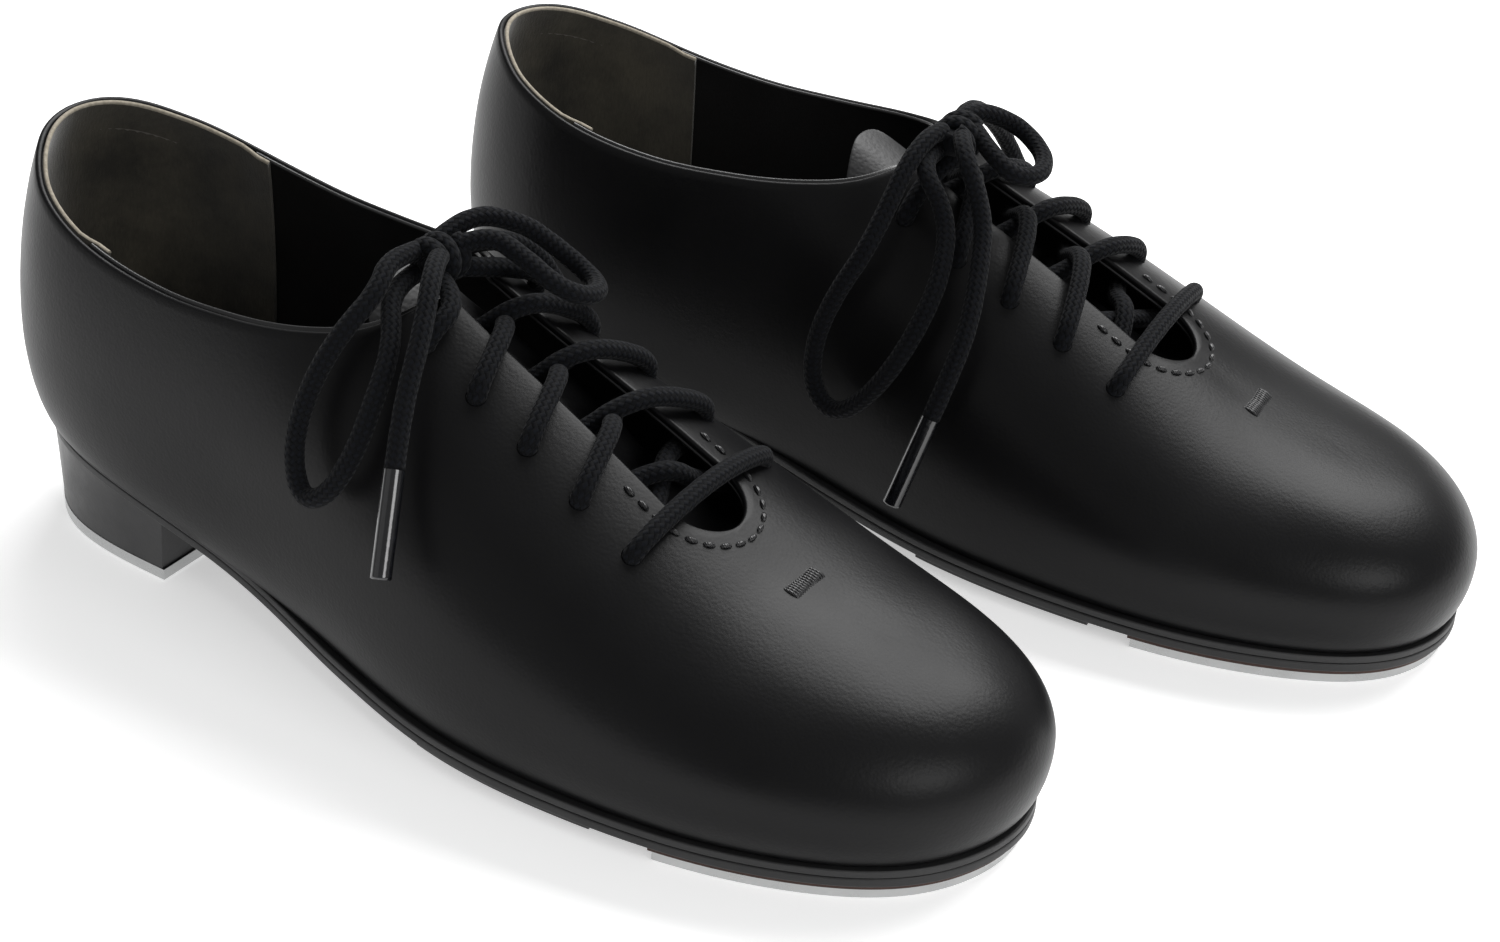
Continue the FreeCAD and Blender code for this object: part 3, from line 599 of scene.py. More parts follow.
# Coated leather, embossed with a very fine grain and ironed to a satin finish: broad soft
# highlights, a faint cloudiness in the gloss some 29 mm across, creases 2 mm apart, and pores
# 0.7 mm apart, drawn a little coarser than the real 0.4 mm so that they show.
coated_leather, tree, where = start_material("coated_black_leather")
cloud = add(tree, "TexNoise", {"Vector": where, "Scale": scale_for(28.6), "Detail": 4.0})
tone = add(tree, "MixRGB", {"Fac": cloud.outputs["Fac"], "Color1": linear("#0b0b0c"),
                            "Color2": linear("#101011")})
gloss = add(tree, "MapRange", {"Value": cloud.outputs["Fac"], "From Min": 0.3,
                               "From Max": 0.7, "To Min": 0.35, "To Max": 0.43})
pores = add(tree, "TexVoronoi", {"Vector": where, "Scale": scale_for(0.7)}, feature="SMOOTH_F1")
creases = add(tree, "TexNoise", {"Vector": where, "Scale": scale_for(2.0), "Detail": 5.0})
relief = add(tree, "Math", {0: pores.outputs["Distance"], 1: creases.outputs["Fac"]},
             operation="ADD")
grain = add(tree, "Bump", {"Height": relief.outputs[0], "Strength": 0.10, "Distance": 0.0003})
surface = add(tree, "BsdfPrincipled", {
    "Base Color": tone.outputs[0], "Roughness": gloss.outputs[0], "Specular IOR Level": 0.15,
    "Normal": grain.outputs[0]})
add(tree, "OutputMaterial", {"Surface": surface.outputs[0]})

upper_setback, lining_setback = 0.8, 0.5
turned_in_width = 13.0
upper_hole, lining_hole = 2.2, 2.3


def ridge_u(x):
    """The u whose meridian meets its mirror image at x on the ridge."""
    return halved(3.0, 4.0, 40, lambda u: station(u)[4] > x)[1]


upper_end_u = ridge_u(throat_end_x + upper_setback)
lining_end_u = ridge_u(throat_end_x + lining_setback)
round_end_us = [start + step for start in (upper_end_u, lining_end_u)
                for step in (0.0, 0.0012, 0.0045, 0.010, 0.018, 0.028)]
# Closer together at the throat's round end and where the throat meets the collar.
side_us = meridians(0.085, 0.02, [(upper_end_u, upper_end_u + 0.4), (5.5, 6.1)])
side_us = [u for u in side_us if not upper_end_u - 0.008 < u < lining_end_u + 0.034]
side_us = sorted(side_us + round_end_us)
ring_us = side_us + [COUNT - u for u in side_us[-2:0:-1]]


def upper_end(u):
    """Height share at which the upper ends: its trimmed edge, or the ridge over the vamp."""
    beside = min(u, COUNT - u)
    return 1.0 if beside < upper_end_u + 1e-5 else trimmed(u, 0.0, upper_setback)


upper_shape = shell(ring_us, from_floor, upper_end, lambda share, u: 0.0, upper_thickness,
                    rows=44, turned_in=turned_in_width)
upper_shape = punched(ironed(weld(*upper_shape)), upper_hole)
for_both("upper_leather", upper_shape, coated_leather, ["upper"])

# ---------------------------------------------------------------- linings
# The quarters and vamp are lined with thin smooth black leather, cemented in and punched with
# the same eyelets. From the arch back the lining is a brushed grey-brown pigskin split, whose
# raw edge shows all round the collar, and a vertical seam joins the two.
lining_inset = 1.75
heel_lining_inset = 2.9
lining_thickness = 1.0
lining_floor = 3.7
lining_front_x, lining_seam_x, seam_overlap = 212.0, 40.0, 4.0
front_u = find_u(lining_front_x, 0.4, -1)
seam_u = find_u(lining_seam_x, 0.6, -1)
rear_u = find_u(lining_seam_x + seam_overlap, 0.6, -1)


def lining_foot(u, inset, extra):
    """Height share at which both linings start, just over the insole."""
    return from_floor(u, inset, lining_floor)


def lining_end(u):
    """Height share at which the forepart lining ends, a little inside the upper's edge."""
    beside = min(u, COUNT - u)
    return 1.0 if beside < lining_end_u + 1e-5 else trimmed(u, lining_inset, lining_setback)


lateral_us = [front_u] + [u for u in side_us if front_u + 0.01 < u < seam_u - 0.01] + [seam_u]
halves = ([], [])
for us in (lateral_us, [COUNT - u for u in lateral_us[::-1]]):
    points, faces = shell(us, lining_foot, lining_end, lambda share, u: lining_inset,
                          lining_thickness, rows=40)
    first = len(halves[0])
    halves[0].extend(points)
    halves[1].extend([tuple(first + i for i in f) for f in faces])

# Thin glazed lining leather: pores 0.5 mm apart, closer than the upper's, a little more shine,
# and a cloudiness some 17 mm across.
lining_leather, tree, where = start_material("glazed_black_lining_leather")
cloud = add(tree, "TexNoise", {"Vector": where, "Scale": scale_for(16.7), "Detail": 4.0})
tone = add(tree, "MixRGB", {"Fac": cloud.outputs["Fac"], "Color1": linear("#101011"),
                            "Color2": linear("#1b1b1c")})
gloss = add(tree, "MapRange", {"Value": cloud.outputs["Fac"], "From Min": 0.3,
                               "From Max": 0.7, "To Min": 0.30, "To Max": 0.40})
pores = add(tree, "TexVoronoi", {"Vector": where, "Scale": scale_for(0.5)}, feature="SMOOTH_F1")
grain = add(tree, "Bump", {"Height": pores.outputs["Distance"], "Strength": 0.12,
                           "Distance": 0.0002})
surface = add(tree, "BsdfPrincipled", {
    "Base Color": tone.outputs[0], "Roughness": gloss.outputs[0], "Normal": grain.outputs[0]})
add(tree, "OutputMaterial", {"Surface": surface.outputs[0]})
for_both("forepart_lining_leather", punched(weld(*halves), lining_hole), lining_leather,
         ["forepart_lining"])

# Brushed split: a matt nap with paler rubbed patches some 22 mm across, and fibres running
# down, drawn 0.6 mm apart, coarser than the real 0.1 mm, so that they show.
split, tree, where = start_material("brushed_grey_pigskin_split")
stretched = add(tree, "Mapping", {"Vector": where, "Scale": (1.0, 1.0, 0.35)})
fibres = add(tree, "TexNoise", {"Vector": stretched.outputs[0], "Scale": scale_for(0.6),
                                "Detail": 4.0, "Roughness": 0.65})
rubbed = add(tree, "TexNoise", {"Vector": where, "Scale": scale_for(22.2), "Detail": 5.0,
                                "Roughness": 0.6})
patch = add(tree, "MapRange", {"Value": rubbed.outputs["Fac"], "From Min": 0.35,
                               "From Max": 0.68})
tone = add(tree, "MixRGB", {"Fac": patch.outputs[0], "Color1": linear("#26241f"),
                            "Color2": linear("#474339")})
speck = add(tree, "MixRGB", {"Fac": 0.35, "Color1": tone.outputs[0],
                             "Color2": fibres.outputs["Fac"]}, blend_type="OVERLAY")
nap = add(tree, "Bump", {"Height": fibres.outputs["Fac"], "Strength": 0.35,
                         "Distance": 0.0004})
surface = add(tree, "BsdfPrincipled", {
    "Base Color": speck.outputs[0], "Roughness": 0.92, "Specular IOR Level": 0.2,
    "Sheen Weight": 0.35, "Sheen Roughness": 0.5, "Normal": nap.outputs[0]})
add(tree, "OutputMaterial", {"Surface": surface.outputs[0]})


collar_step = 1.2


def heel_inset(share, u):
    """The lining steps out to the upper near the collar, where the counter ends."""
    x = station(u)[0]
    return (heel_lining_inset
            - collar_step * soft_step((share - 0.78) / 0.16) * soft_step((39 - x) / 6))


heel_us = [rear_u] + [u for u in side_us if u > rear_u + 0.01]
heel_us += [COUNT - u for u in heel_us[-2::-1]]
split_setback, raw_width = 0.3, 0.75
heel_shape = weld(*shell(heel_us, lining_foot,
                         lambda u: trimmed(u, heel_inset(1.0, u), split_setback),
                         heel_inset, lining_thickness, rows=40))
raw_faces = []
for face in heel_shape[1]:
    middle = sum((heel_shape[0][i] for i in face), Vector()) / len(face)
    raw_faces.append(1 if kept(middle, 0.0) < raw_width else 0)

# The cut edge of the split: undyed, paler than the nap, with loose fibre ends 0.9 mm apart.
raw_edge, tree, where = start_material("raw_pigskin_edge")
ends_noise = add(tree, "TexNoise", {"Vector": where, "Scale": scale_for(0.91), "Detail": 4.0})
tone = add(tree, "MixRGB", {"Fac": ends_noise.outputs["Fac"], "Color1": linear("#6d675c"),
                            "Color2": linear("#b3ab9c")})
bumps = add(tree, "Bump", {
    "Height": ends_noise.outputs["Fac"], "Strength": 0.4, "Distance": 0.0003})
surface = add(tree, "BsdfPrincipled", {
    "Base Color": tone.outputs[0], "Roughness": 0.9, "Specular IOR Level": 0.2,
    "Normal": bumps.outputs[0]})
add(tree, "OutputMaterial", {"Surface": surface.outputs[0]})
for left in (False, True):
    side = "left" if left else "right"
    piece = build(side + "_heel_lining_split", heel_shape, left, split)
    piece.data.materials.append(raw_edge)
    piece.data.polygons.foreach_set("material_index", raw_faces)
    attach(piece, side + "_shoe")
    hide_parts(side + "_heel_lining")

# ---------------------------------------------------------------- tongue
# A soft unlined flap of black leather under the laces, stitched in below the throat. It curves
# over the instep, its edges are skived and lift a little, and its free end is rounded.
lace_diameter = 4.2
lace_gap = 1.15
flap = upper_thickness + 0.15 + lining_thickness
tongue_depth = flap + lace_diameter / 2 + lace_gap + lace_diameter / 2 + 1.9
tongue_sag = 3.4
tongue_base_x = throat_end_x + 15.0
tongue_tip_x = throat_top_x - 13.0
tongue_half, tongue_flare = 17.0, 9.0
tongue_thickness, tongue_corner = 1.7, 9.0
tongue_rows, tongue_columns = 26, 12
tongue_top = []
for i in range(tongue_rows + 1):
    x = tongue_tip_x + (tongue_base_x - tongue_tip_x) * i / tongue_rows
    slack = tongue_depth + tongue_sag * soft_step((x - 138) / 24)
    depth = slack + (flap + 0.3 - slack) * soft_step((x - tongue_base_x + 24) / 24)
    w = tongue_half + tongue_flare * (tongue_base_x - x) / (tongue_base_x - tongue_tip_x)
    end = min(x - tongue_tip_x, tongue_base_x - x) / tongue_corner
    if end < 1:
        w *= 0.72 + 0.28 * math.sqrt(max(0.0, 1 - (1 - end) ** 2))
    line = []
    for j in range(tongue_columns + 1):
        y = w * (2 * j / tongue_columns - 1)
        line.append(on_top(x, y, -depth))
    tongue_top.append(line)
tongue_points, tongue_faces = [], []
for i, line in enumerate(tongue_top):
    before, after = tongue_top[max(0, i - 1)], tongue_top[min(tongue_rows, i + 1)]
    for j, p in enumerate(line):
        along = after[j] - before[j]
        beside = line[min(tongue_columns, j + 1)] - line[max(0, j - 1)]
        n = along.cross(beside).normalized()
        n = -n if n.z < 0 else n
        skive = min(1.0, 0.45 + 0.35 * min(j, tongue_columns - j, i, tongue_rows - i))
        ripple = 0.25 * math.sin(i * 0.9 + j * 0.3) * math.sin(j * 0.8)
        tongue_points += [p + n * min(0.0, ripple), p - n * (tongue_thickness * skive)]
stride = tongue_columns + 1
for i in range(tongue_rows):
    for j in range(tongue_columns):
        a, b = 2 * (i * stride + j), 2 * ((i + 1) * stride + j)
        tongue_faces += [(a, a + 2, b + 2, b), (a + 1, b + 1, b + 3, a + 3)]
for i in range(tongue_rows):
    for j in (0, tongue_columns):
        a, b = 2 * (i * stride + j), 2 * ((i + 1) * stride + j)
        tongue_faces.append((a, b, b + 1, a + 1))
for j in range(tongue_columns):
    for i in (0, tongue_rows):
        a = 2 * (i * stride + j)
        tongue_faces.append((a, a + 1, a + 3, a + 2))

# Softer than the upper: looser grain with pores 0.9 mm and creases 4 mm apart, and a
# broader, duller highlight.
tongue_leather, tree, where = start_material("soft_black_leather")
cloud = add(tree, "TexNoise", {"Vector": where, "Scale": scale_for(25.0), "Detail": 5.0})
tone = add(tree, "MixRGB", {"Fac": cloud.outputs["Fac"], "Color1": linear("#111112"),
                            "Color2": linear("#1c1c1e")})
pores = add(tree, "TexVoronoi", {"Vector": where, "Scale": scale_for(0.9)}, feature="SMOOTH_F1")
creases = add(tree, "TexNoise", {"Vector": where, "Scale": scale_for(3.85), "Detail": 6.0})
relief = add(tree, "Math", {0: pores.outputs["Distance"], 1: creases.outputs["Fac"]},
             operation="ADD")
grain = add(tree, "Bump", {"Height": relief.outputs[0], "Strength": 0.25, "Distance": 0.0004})
surface = add(tree, "BsdfPrincipled", {
    "Base Color": tone.outputs[0], "Roughness": 0.55, "Normal": grain.outputs[0]})
add(tree, "OutputMaterial", {"Surface": surface.outputs[0]})
tongue_shape = weld(tongue_points, tongue_faces)
for left in (False, True):
    side = "left" if left else "right"
    piece = build(side + "_tongue_leather", tongue_shape, left, tongue_leather)
    rounder = piece.modifiers.new("soft_edges", "SUBSURF")
    rounder.levels = rounder.render_levels = 2
    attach(piece, side + "_tongue")
    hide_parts(side + "_tongue")

# ---------------------------------------------------------------- stitching at the throat
# Heavy waxed black thread: one row of lockstitch in a U round the end of the throat that holds
# the tongue, and a short bar tack across the vamp in front of it. Each stitch is a plump
# slanting float between two needle holes.
def tube_along(line, radii, around):
    """Points and faces of a closed tube round a line, one radius for each point."""
    points, faces = [], []
    n = len(line)
    tangent = (line[1] - line[0]).normalized()
    side = tangent.orthogonal().normalized()
    for i, p in enumerate(line):
        ahead = (line[min(n - 1, i + 1)] - line[max(0, i - 1)]).normalized()
        side = (tangent.rotation_difference(ahead) @ side)
        side = (side - ahead * side.dot(ahead)).normalized()
        tangent = ahead
        up = ahead.cross(side)
        for k in range(around):
            a = 2 * math.pi * k / around
            points.append(p + (side * math.cos(a) + up * math.sin(a)) * radii[i])
    for i in range(n - 1):
        for k in range(around):
            m = (k + 1) % around
            faces.append((i * around + k, i * around + m, (i + 1) * around + m,
                          (i + 1) * around + k))
    faces.append(tuple(range(around - 1, -1, -1)))
    faces.append(tuple((n - 1) * around + k for k in range(around)))
    return points, faces


def stitch(a, b, thread):
    """One float of thread between plan positions a and b, its ends down in the holes."""
    line, radii = [], []
    for i in range(8):
        t = i / 7
        x, y = a[0] + (b[0] - a[0]) * t, a[1] + (b[1] - a[1]) * t
        line.append(on_top(x, y, 0.42 * thread * math.sin(math.pi * t) ** 0.6 - 0.25 * thread))
        radii.append(thread / 2 * (0.35 + 0.65 * math.sin(math.pi * t) ** 0.5))
    return tube_along(line, radii, 8)


def evenly(route, spacing):
    """Plan positions at even spacing along a route of straight runs."""
    steps = [math.dist(a, b) for a, b in zip(route, route[1:])]
    at = np.concatenate([[0.0], np.cumsum(steps)])
    where_to = np.linspace(0, at[-1], int(round(at[-1] / spacing)) + 1)
    return list(zip(np.interp(where_to, at, [p[0] for p in route]).tolist(),
                    np.interp(where_to, at, [p[1] for p in route]).tolist()))


stitch_margin, stitch_pitch, stitch_thread = 4.2, 3.6, 1.2
row_end_x = 167.0
tack_back_x, tack_front_x, tack_half = 201.0, 205.0, 4.8
tack_pitch, tack_slant, tack_thread, tack_stitches = 0.8, 0.3, 0.95, 13
thread_points, thread_faces = [], []
round_x = throat_end_x - throat_end_half
row_radius = throat_end_half + stitch_margin
row = [(row_end_x, -throat_half(row_end_x) - stitch_margin)]
for i in range(25):
    angle = math.radians(-90 + 7.5 * i)
    row.append((round_x + row_radius * math.cos(angle), row_radius * math.sin(angle)))
row.append((row_end_x, throat_half(row_end_x) + stitch_margin))
marks = evenly(row, stitch_pitch)
floats = []
for a, b in zip(marks, marks[1:]):
    floats.append(((a[0] * 0.86 + b[0] * 0.14, a[1] * 0.86 + b[1] * 0.14),
                   (a[0] * 0.14 + b[0] * 0.86, a[1] * 0.14 + b[1] * 0.86), stitch_thread))
for i in range(tack_stitches):
    y = tack_pitch * i - tack_half
    floats.append(((tack_back_x, y - tack_slant), (tack_front_x, y + tack_slant),
                   tack_thread))
for a, b, thread in floats:
    points, faces = stitch(a, b, thread)
    first = len(thread_points)
    thread_points += points
    thread_faces += [tuple(first + i for i in f) for f in faces]

# Waxed thread: plies twisted together 0.7 mm apart, a faint wax shine on black. Its colour is
# lighter on the plies' crowns and darker in the grooves between them, painted light and shade.
# A diagonal wave texture at scale 1 repeats every tau / 10.
waxed_thread, tree, where = start_material("waxed_black_thread")
ply = add(tree, "TexWave", {"Vector": where, "Scale": scale_for(0.7) * math.tau / 10,
                             "Distortion": 1.5},
          bands_direction="DIAGONAL")
# Painted light and shade: the thread's colour darkens in the grooves between plies, where the bump
# sinks, and lightens on their crowns.
tone = add(tree, "MixRGB", {"Fac": ply.outputs["Fac"], "Color1": linear("#0d0d0e"),
                            "Color2": linear("#1d1d1f")})
twist = add(tree, "Bump", {"Height": ply.outputs["Fac"], "Strength": 0.3,
                           "Distance": 0.0002})
surface = add(tree, "BsdfPrincipled", {
    "Base Color": tone.outputs[0], "Roughness": 0.38, "Normal": twist.outputs[0]})
add(tree, "OutputMaterial", {"Surface": surface.outputs[0]})
for_both("throat_stitching", (thread_points, thread_faces), waxed_thread, [])

# ---------------------------------------------------------------- insole, sock and filler
# Inside, a fibreboard insole is covered by a thin dark sock. Under it the turned-in upper
# leaves a hollow that is filled level with cork.
def slab(offset, reach, low, high, rounding, us=None, across=8):
    """A layer of the sole following the featherline, its edge rounded top and bottom."""
    points, faces, sections = [], [], []
    for u in us or side_us:
        profile = []
        for sign in (-1, 1):
            for step in range(5):
                a = math.pi / 2 * (step / 4 if sign > 0 else step / 4 - 1)
                profile.append((rounding * (math.cos(a) - 1),
                                (high - rounding if sign > 0 else low + rounding)
                                + rounding * math.sin(a)))
        sides = []
        for w in (u, COUNT - u):
            line = []
            for shift, z in profile:
                x, y = edge(w, offset + shift, reach)
                line.append(Vector((x, y, bottom(x) + z)))
            sides.append(line)
        a, b = sides
        top = [a[-1].lerp(b[-1], i / across) for i in range(1, across)]
        under = [b[0].lerp(a[0], i / across) for i in range(1, across)]
        section = a + top + b[::-1] + under
        sections.append(list(range(len(points), len(points) + len(section))))
        points += section
    for a, b in zip(sections, sections[1:]):
        n = len(a)
        faces += [(a[i], b[i], b[(i + 1) % n], a[(i + 1) % n]) for i in range(n)]
    if us:
        faces += [tuple(sections[0]), tuple(sections[-1][::-1])]
    return weld(points, faces)


# Insole board: pressed leather fibre, buff with darker flecks of 1.1 mm.
insole_fibre, tree, where = start_material("insole_fibreboard")
fleck = add(tree, "TexNoise", {"Vector": where, "Scale": scale_for(1.11), "Detail": 3.0})
tone = add(tree, "MixRGB", {"Fac": fleck.outputs["Fac"], "Color1": linear("#6f5a42"),
                            "Color2": linear("#9c8465")})
surface = add(tree, "BsdfPrincipled", {"Base Color": tone.outputs[0], "Roughness": 0.85})
add(tree, "OutputMaterial", {"Surface": surface.outputs[0]})
for_both("insole_fibreboard", slab(-0.9, 0.0, low=1.75, high=3.55, rounding=0.3),
         insole_fibre, ["insole_board"])

# Sock: dark brushed cloth, matt, its threads 0.75 mm apart, worn in patches 33 mm across. A
# wave texture at scale 1 repeats every tau / 20.
sock_cloth, tree, where = start_material("dark_sock_cloth")
thread_scale = scale_for(0.75) * math.tau / 20
warp = add(tree, "TexWave", {"Vector": where, "Scale": thread_scale}, bands_direction="X")
weft = add(tree, "TexWave", {"Vector": where, "Scale": thread_scale}, bands_direction="Y")
knit = add(tree, "Math", {0: warp.outputs["Fac"], 1: weft.outputs["Fac"]},
           operation="MULTIPLY")
worn = add(tree, "TexNoise", {"Vector": where, "Scale": scale_for(33.3), "Detail": 4.0})
tone = add(tree, "MixRGB", {"Fac": worn.outputs["Fac"], "Color1": linear("#2a2826"),
                            "Color2": linear("#3d3a37")})
bumps = add(tree, "Bump", {"Height": knit.outputs[0], "Strength": 0.2, "Distance": 0.0003})
surface = add(tree, "BsdfPrincipled", {
    "Base Color": tone.outputs[0], "Roughness": 0.85, "Normal": bumps.outputs[0]})
add(tree, "OutputMaterial", {"Surface": surface.outputs[0]})
for_both("sock_cloth", slab(-1.6, 0.0, low=3.7, high=4.85, rounding=0.35), sock_cloth,
         ["sock_liner"])

# Filler: ground cork in glue, brown with pale and dark grains of 1.4 mm.
cork, tree, where = start_material("ground_cork_filler")
grains = add(tree, "TexVoronoi", {"Vector": where, "Scale": scale_for(1.43)})
tone = add(tree, "MixRGB", {"Fac": grains.outputs["Distance"], "Color1": linear("#8a6844"),
                            "Color2": linear("#4c3823")})
surface = add(tree, "BsdfPrincipled", {"Base Color": tone.outputs[0], "Roughness": 0.9})
add(tree, "OutputMaterial", {"Surface": surface.outputs[0]})
for_both("cork_filler", slab(-0.3 - turned_in_width, 0.0, low=-1.95, high=1.5, rounding=0.2),
         cork, ["bottom_filler"])

# ---------------------------------------------------------------- welt, outsole and pad
# Two thin layers of black rubber cemented under the upper, with a fine dark line between
# them, and behind the toe tap a thin rubber pad. Their edges are trimmed and waxed together,
# and the underside of the outsole keeps a moulded pebble grain.
# Black rubber, trimmed and waxed: nearly matt, dusty in patches 18 mm across, with trimming
# strokes 0.7 mm apart along the edge and pebbles of 1.6 mm.
edge_rubber, tree, where = start_material("black_sole_rubber")
dust = add(tree, "TexNoise", {"Vector": where, "Scale": scale_for(18.2), "Detail": 6.0,
                              "Roughness": 0.6})
tone = add(tree, "MixRGB", {"Fac": dust.outputs["Fac"], "Color1": linear("#121213"),
                            "Color2": linear("#202021")})
worn = add(tree, "MapRange", {"Value": dust.outputs["Fac"], "From Min": 0.3,
                              "From Max": 0.7, "To Min": 0.42, "To Max": 0.60})
trimming = add(tree, "Mapping", {"Vector": where, "Scale": (0.25, 0.25, 1.0)})
strokes = add(tree, "TexNoise", {"Vector": trimming.outputs[0], "Scale": scale_for(0.667),
                                 "Detail": 2.0})
pebbles = add(tree, "TexVoronoi", {"Vector": where, "Scale": scale_for(1.6)},
              feature="SMOOTH_F1")
relief = add(tree, "Math", {0: strokes.outputs["Fac"], 1: pebbles.outputs["Distance"]},
             operation="ADD")
bumps = add(tree, "Bump", {"Height": relief.outputs[0], "Strength": 0.18, "Distance": 0.0003})
surface = add(tree, "BsdfPrincipled", {
    "Base Color": tone.outputs[0], "Roughness": worn.outputs[0], "Normal": bumps.outputs[0]})
add(tree, "OutputMaterial", {"Surface": surface.outputs[0]})
pad_back_x, pad_front_x, pad_offset, sole_reach = 139.0, 184.0, -1.8, 3.0
pad_us = [u for u in side_us if pad_back_x < edge(u, pad_offset, sole_reach)[0] < pad_front_x]
for_both("welt_rubber", slab(-0.5, 2.9, low=-1.95, high=-0.05, rounding=0.45), edge_rubber,
         ["welt"])
for_both("outsole_rubber", slab(-0.6, sole_reach, low=-4.2, high=-2.0, rounding=0.5),
         edge_rubber, ["outsole"])
for_both("pad_rubber", slab(pad_offset, sole_reach, low=-5.7, high=-4.25, rounding=0.35,
                            us=pad_us), edge_rubber, ["sole_pad"])

# ---------------------------------------------------------------- heel, taps and fixings
# The heel block is moulded in satin black plastic. Taps are cast light alloy, buffed bright
# and screwed on, with a thin fibreboard shim above the toe tap. Counter and toe puff are
# stiffened board, the shank is spring steel and the heel nails are plain steel.
def finish_node(node, material):
    """Gives the CAD piece of that name in both shoes its real finish."""
    for side in ("right_", "left_"):
        for place_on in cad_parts[side + node].material_slots:
            place_on.link = "OBJECT"
            place_on.material = material


# Moulded plastic, satin: an even soft shine, scuffed in patches 11 mm across, over a fine
# moulded texture of 0.7 mm.
heel_plastic, tree, where = start_material("satin_black_heel_plastic")
scuff = add(tree, "TexNoise", {"Vector": where, "Scale": scale_for(11.1), "Detail": 8.0,
                               "Roughness": 0.7})
tone = add(tree, "MixRGB", {"Fac": scuff.outputs["Fac"], "Color1": linear("#121213"),
                            "Color2": linear("#1e1e20")})
gloss = add(tree, "MapRange", {"Value": scuff.outputs["Fac"], "From Min": 0.35,
                               "From Max": 0.7, "To Min": 0.34, "To Max": 0.52})
fine = add(tree, "TexNoise", {"Vector": where, "Scale": scale_for(0.714), "Detail": 2.0})
bumps = add(tree, "Bump", {"Height": fine.outputs["Fac"], "Strength": 0.12, "Distance": 0.0002})
surface = add(tree, "BsdfPrincipled", {
    "Base Color": tone.outputs[0], "Roughness": gloss.outputs[0], "Normal": bumps.outputs[0]})
add(tree, "OutputMaterial", {"Surface": surface.outputs[0]})
finish_node("heel_block", heel_plastic)

# Cast aluminium, buffed: a pale metal whose buffing lines, 0.8 mm apart, blur what it
# mirrors, duller in patches 8 mm across.
tap_alloy, tree, where = start_material("buffed_cast_aluminium")
stretched = add(tree, "Mapping", {"Vector": where, "Scale": (1.0, 0.08, 1.0)})
buffing = add(tree, "TexNoise", {"Vector": stretched.outputs[0], "Scale": scale_for(0.833),
                                 "Detail": 3.0})
dull = add(tree, "TexNoise", {"Vector": where, "Scale": scale_for(8.33), "Detail": 5.0})
rough = add(tree, "MapRange", {"Value": dull.outputs["Fac"], "From Min": 0.3,
                               "From Max": 0.7, "To Min": 0.24, "To Max": 0.34})
tone = add(tree, "MixRGB", {"Fac": dull.outputs["Fac"], "Color1": linear("#b2b3b3"),
                            "Color2": linear("#cbcccc")})
bumps = add(tree, "Bump", {
    "Height": buffing.outputs["Fac"], "Strength": 0.12, "Distance": 0.0001})
surface = add(tree, "BsdfPrincipled", {
    "Base Color": tone.outputs[0], "Metallic": 1.0, "Roughness": rough.outputs[0],
    "Normal": bumps.outputs[0]})
add(tree, "OutputMaterial", {"Surface": surface.outputs[0]})
finish_node("toe_tap", tap_alloy)
finish_node("heel_tap", tap_alloy)

# Zinc-plated steel: greyer and a little rougher than the taps, with crystals of 0.8 mm.
plated_steel, tree, where = start_material("zinc_plated_steel")
spangle = add(tree, "TexVoronoi", {"Vector": where, "Scale": scale_for(0.77)})
tone = add(tree, "MixRGB", {"Fac": spangle.outputs["Distance"], "Color1": linear("#a6a8aa"),
                            "Color2": linear("#c4c6c8")})
surface = add(tree, "BsdfPrincipled", {
    "Base Color": tone.outputs[0], "Metallic": 1.0, "Roughness": 0.36})
add(tree, "OutputMaterial", {"Surface": surface.outputs[0]})
for node in ("heel_tap_screws", "toe_tap_screws", "heel_nails"):
    finish_node(node, plated_steel)

# Spring steel: blue-grey, with films of oil 12.5 mm across.
spring_steel, tree, where = start_material("oiled_spring_steel")
oil = add(tree, "TexNoise", {"Vector": where, "Scale": scale_for(12.5), "Detail": 4.0})
tone = add(tree, "MixRGB", {"Fac": oil.outputs["Fac"], "Color1": linear("#5c6066"),
                            "Color2": linear("#7d828a")})
surface = add(tree, "BsdfPrincipled", {
    "Base Color": tone.outputs[0], "Metallic": 1.0, "Roughness": 0.32})
add(tree, "OutputMaterial", {"Surface": surface.outputs[0]})
finish_node("steel_shank", spring_steel)

# Vulcanised fibre, reddish brown and matt, with pale fibres 0.9 mm apart.
red_board, tree, where = start_material("red_vulcanised_fibre")
fibre = add(tree, "TexNoise", {"Vector": where, "Scale": scale_for(0.91), "Detail": 4.0})
tone = add(tree, "MixRGB", {"Fac": fibre.outputs["Fac"], "Color1": linear("#2c1d19"),
                            "Color2": linear("#4a332b")})
bumps = add(tree, "Bump", {"Height": fibre.outputs["Fac"], "Strength": 0.2, "Distance": 0.0002})
surface = add(tree, "BsdfPrincipled", {
    "Base Color": tone.outputs[0], "Roughness": 0.75, "Normal": bumps.outputs[0]})
add(tree, "OutputMaterial", {"Surface": surface.outputs[0]})
finish_node("toe_board", red_board)

# Stiffener: resin-soaked board, grey and matt, with fibres 1.25 mm apart.
stiff_board, tree, where = start_material("resin_stiffened_board")
fibre = add(tree, "TexNoise", {"Vector": where, "Scale": scale_for(1.25), "Detail": 4.0})
tone = add(tree, "MixRGB", {"Fac": fibre.outputs["Fac"], "Color1": linear("#4d4a46"),
                            "Color2": linear("#6b6761")})
surface = add(tree, "BsdfPrincipled", {"Base Color": tone.outputs[0], "Roughness": 0.85})
add(tree, "OutputMaterial", {"Surface": surface.outputs[0]})
finish_node("heel_counter", stiff_board)
finish_node("toe_puff", stiff_board)

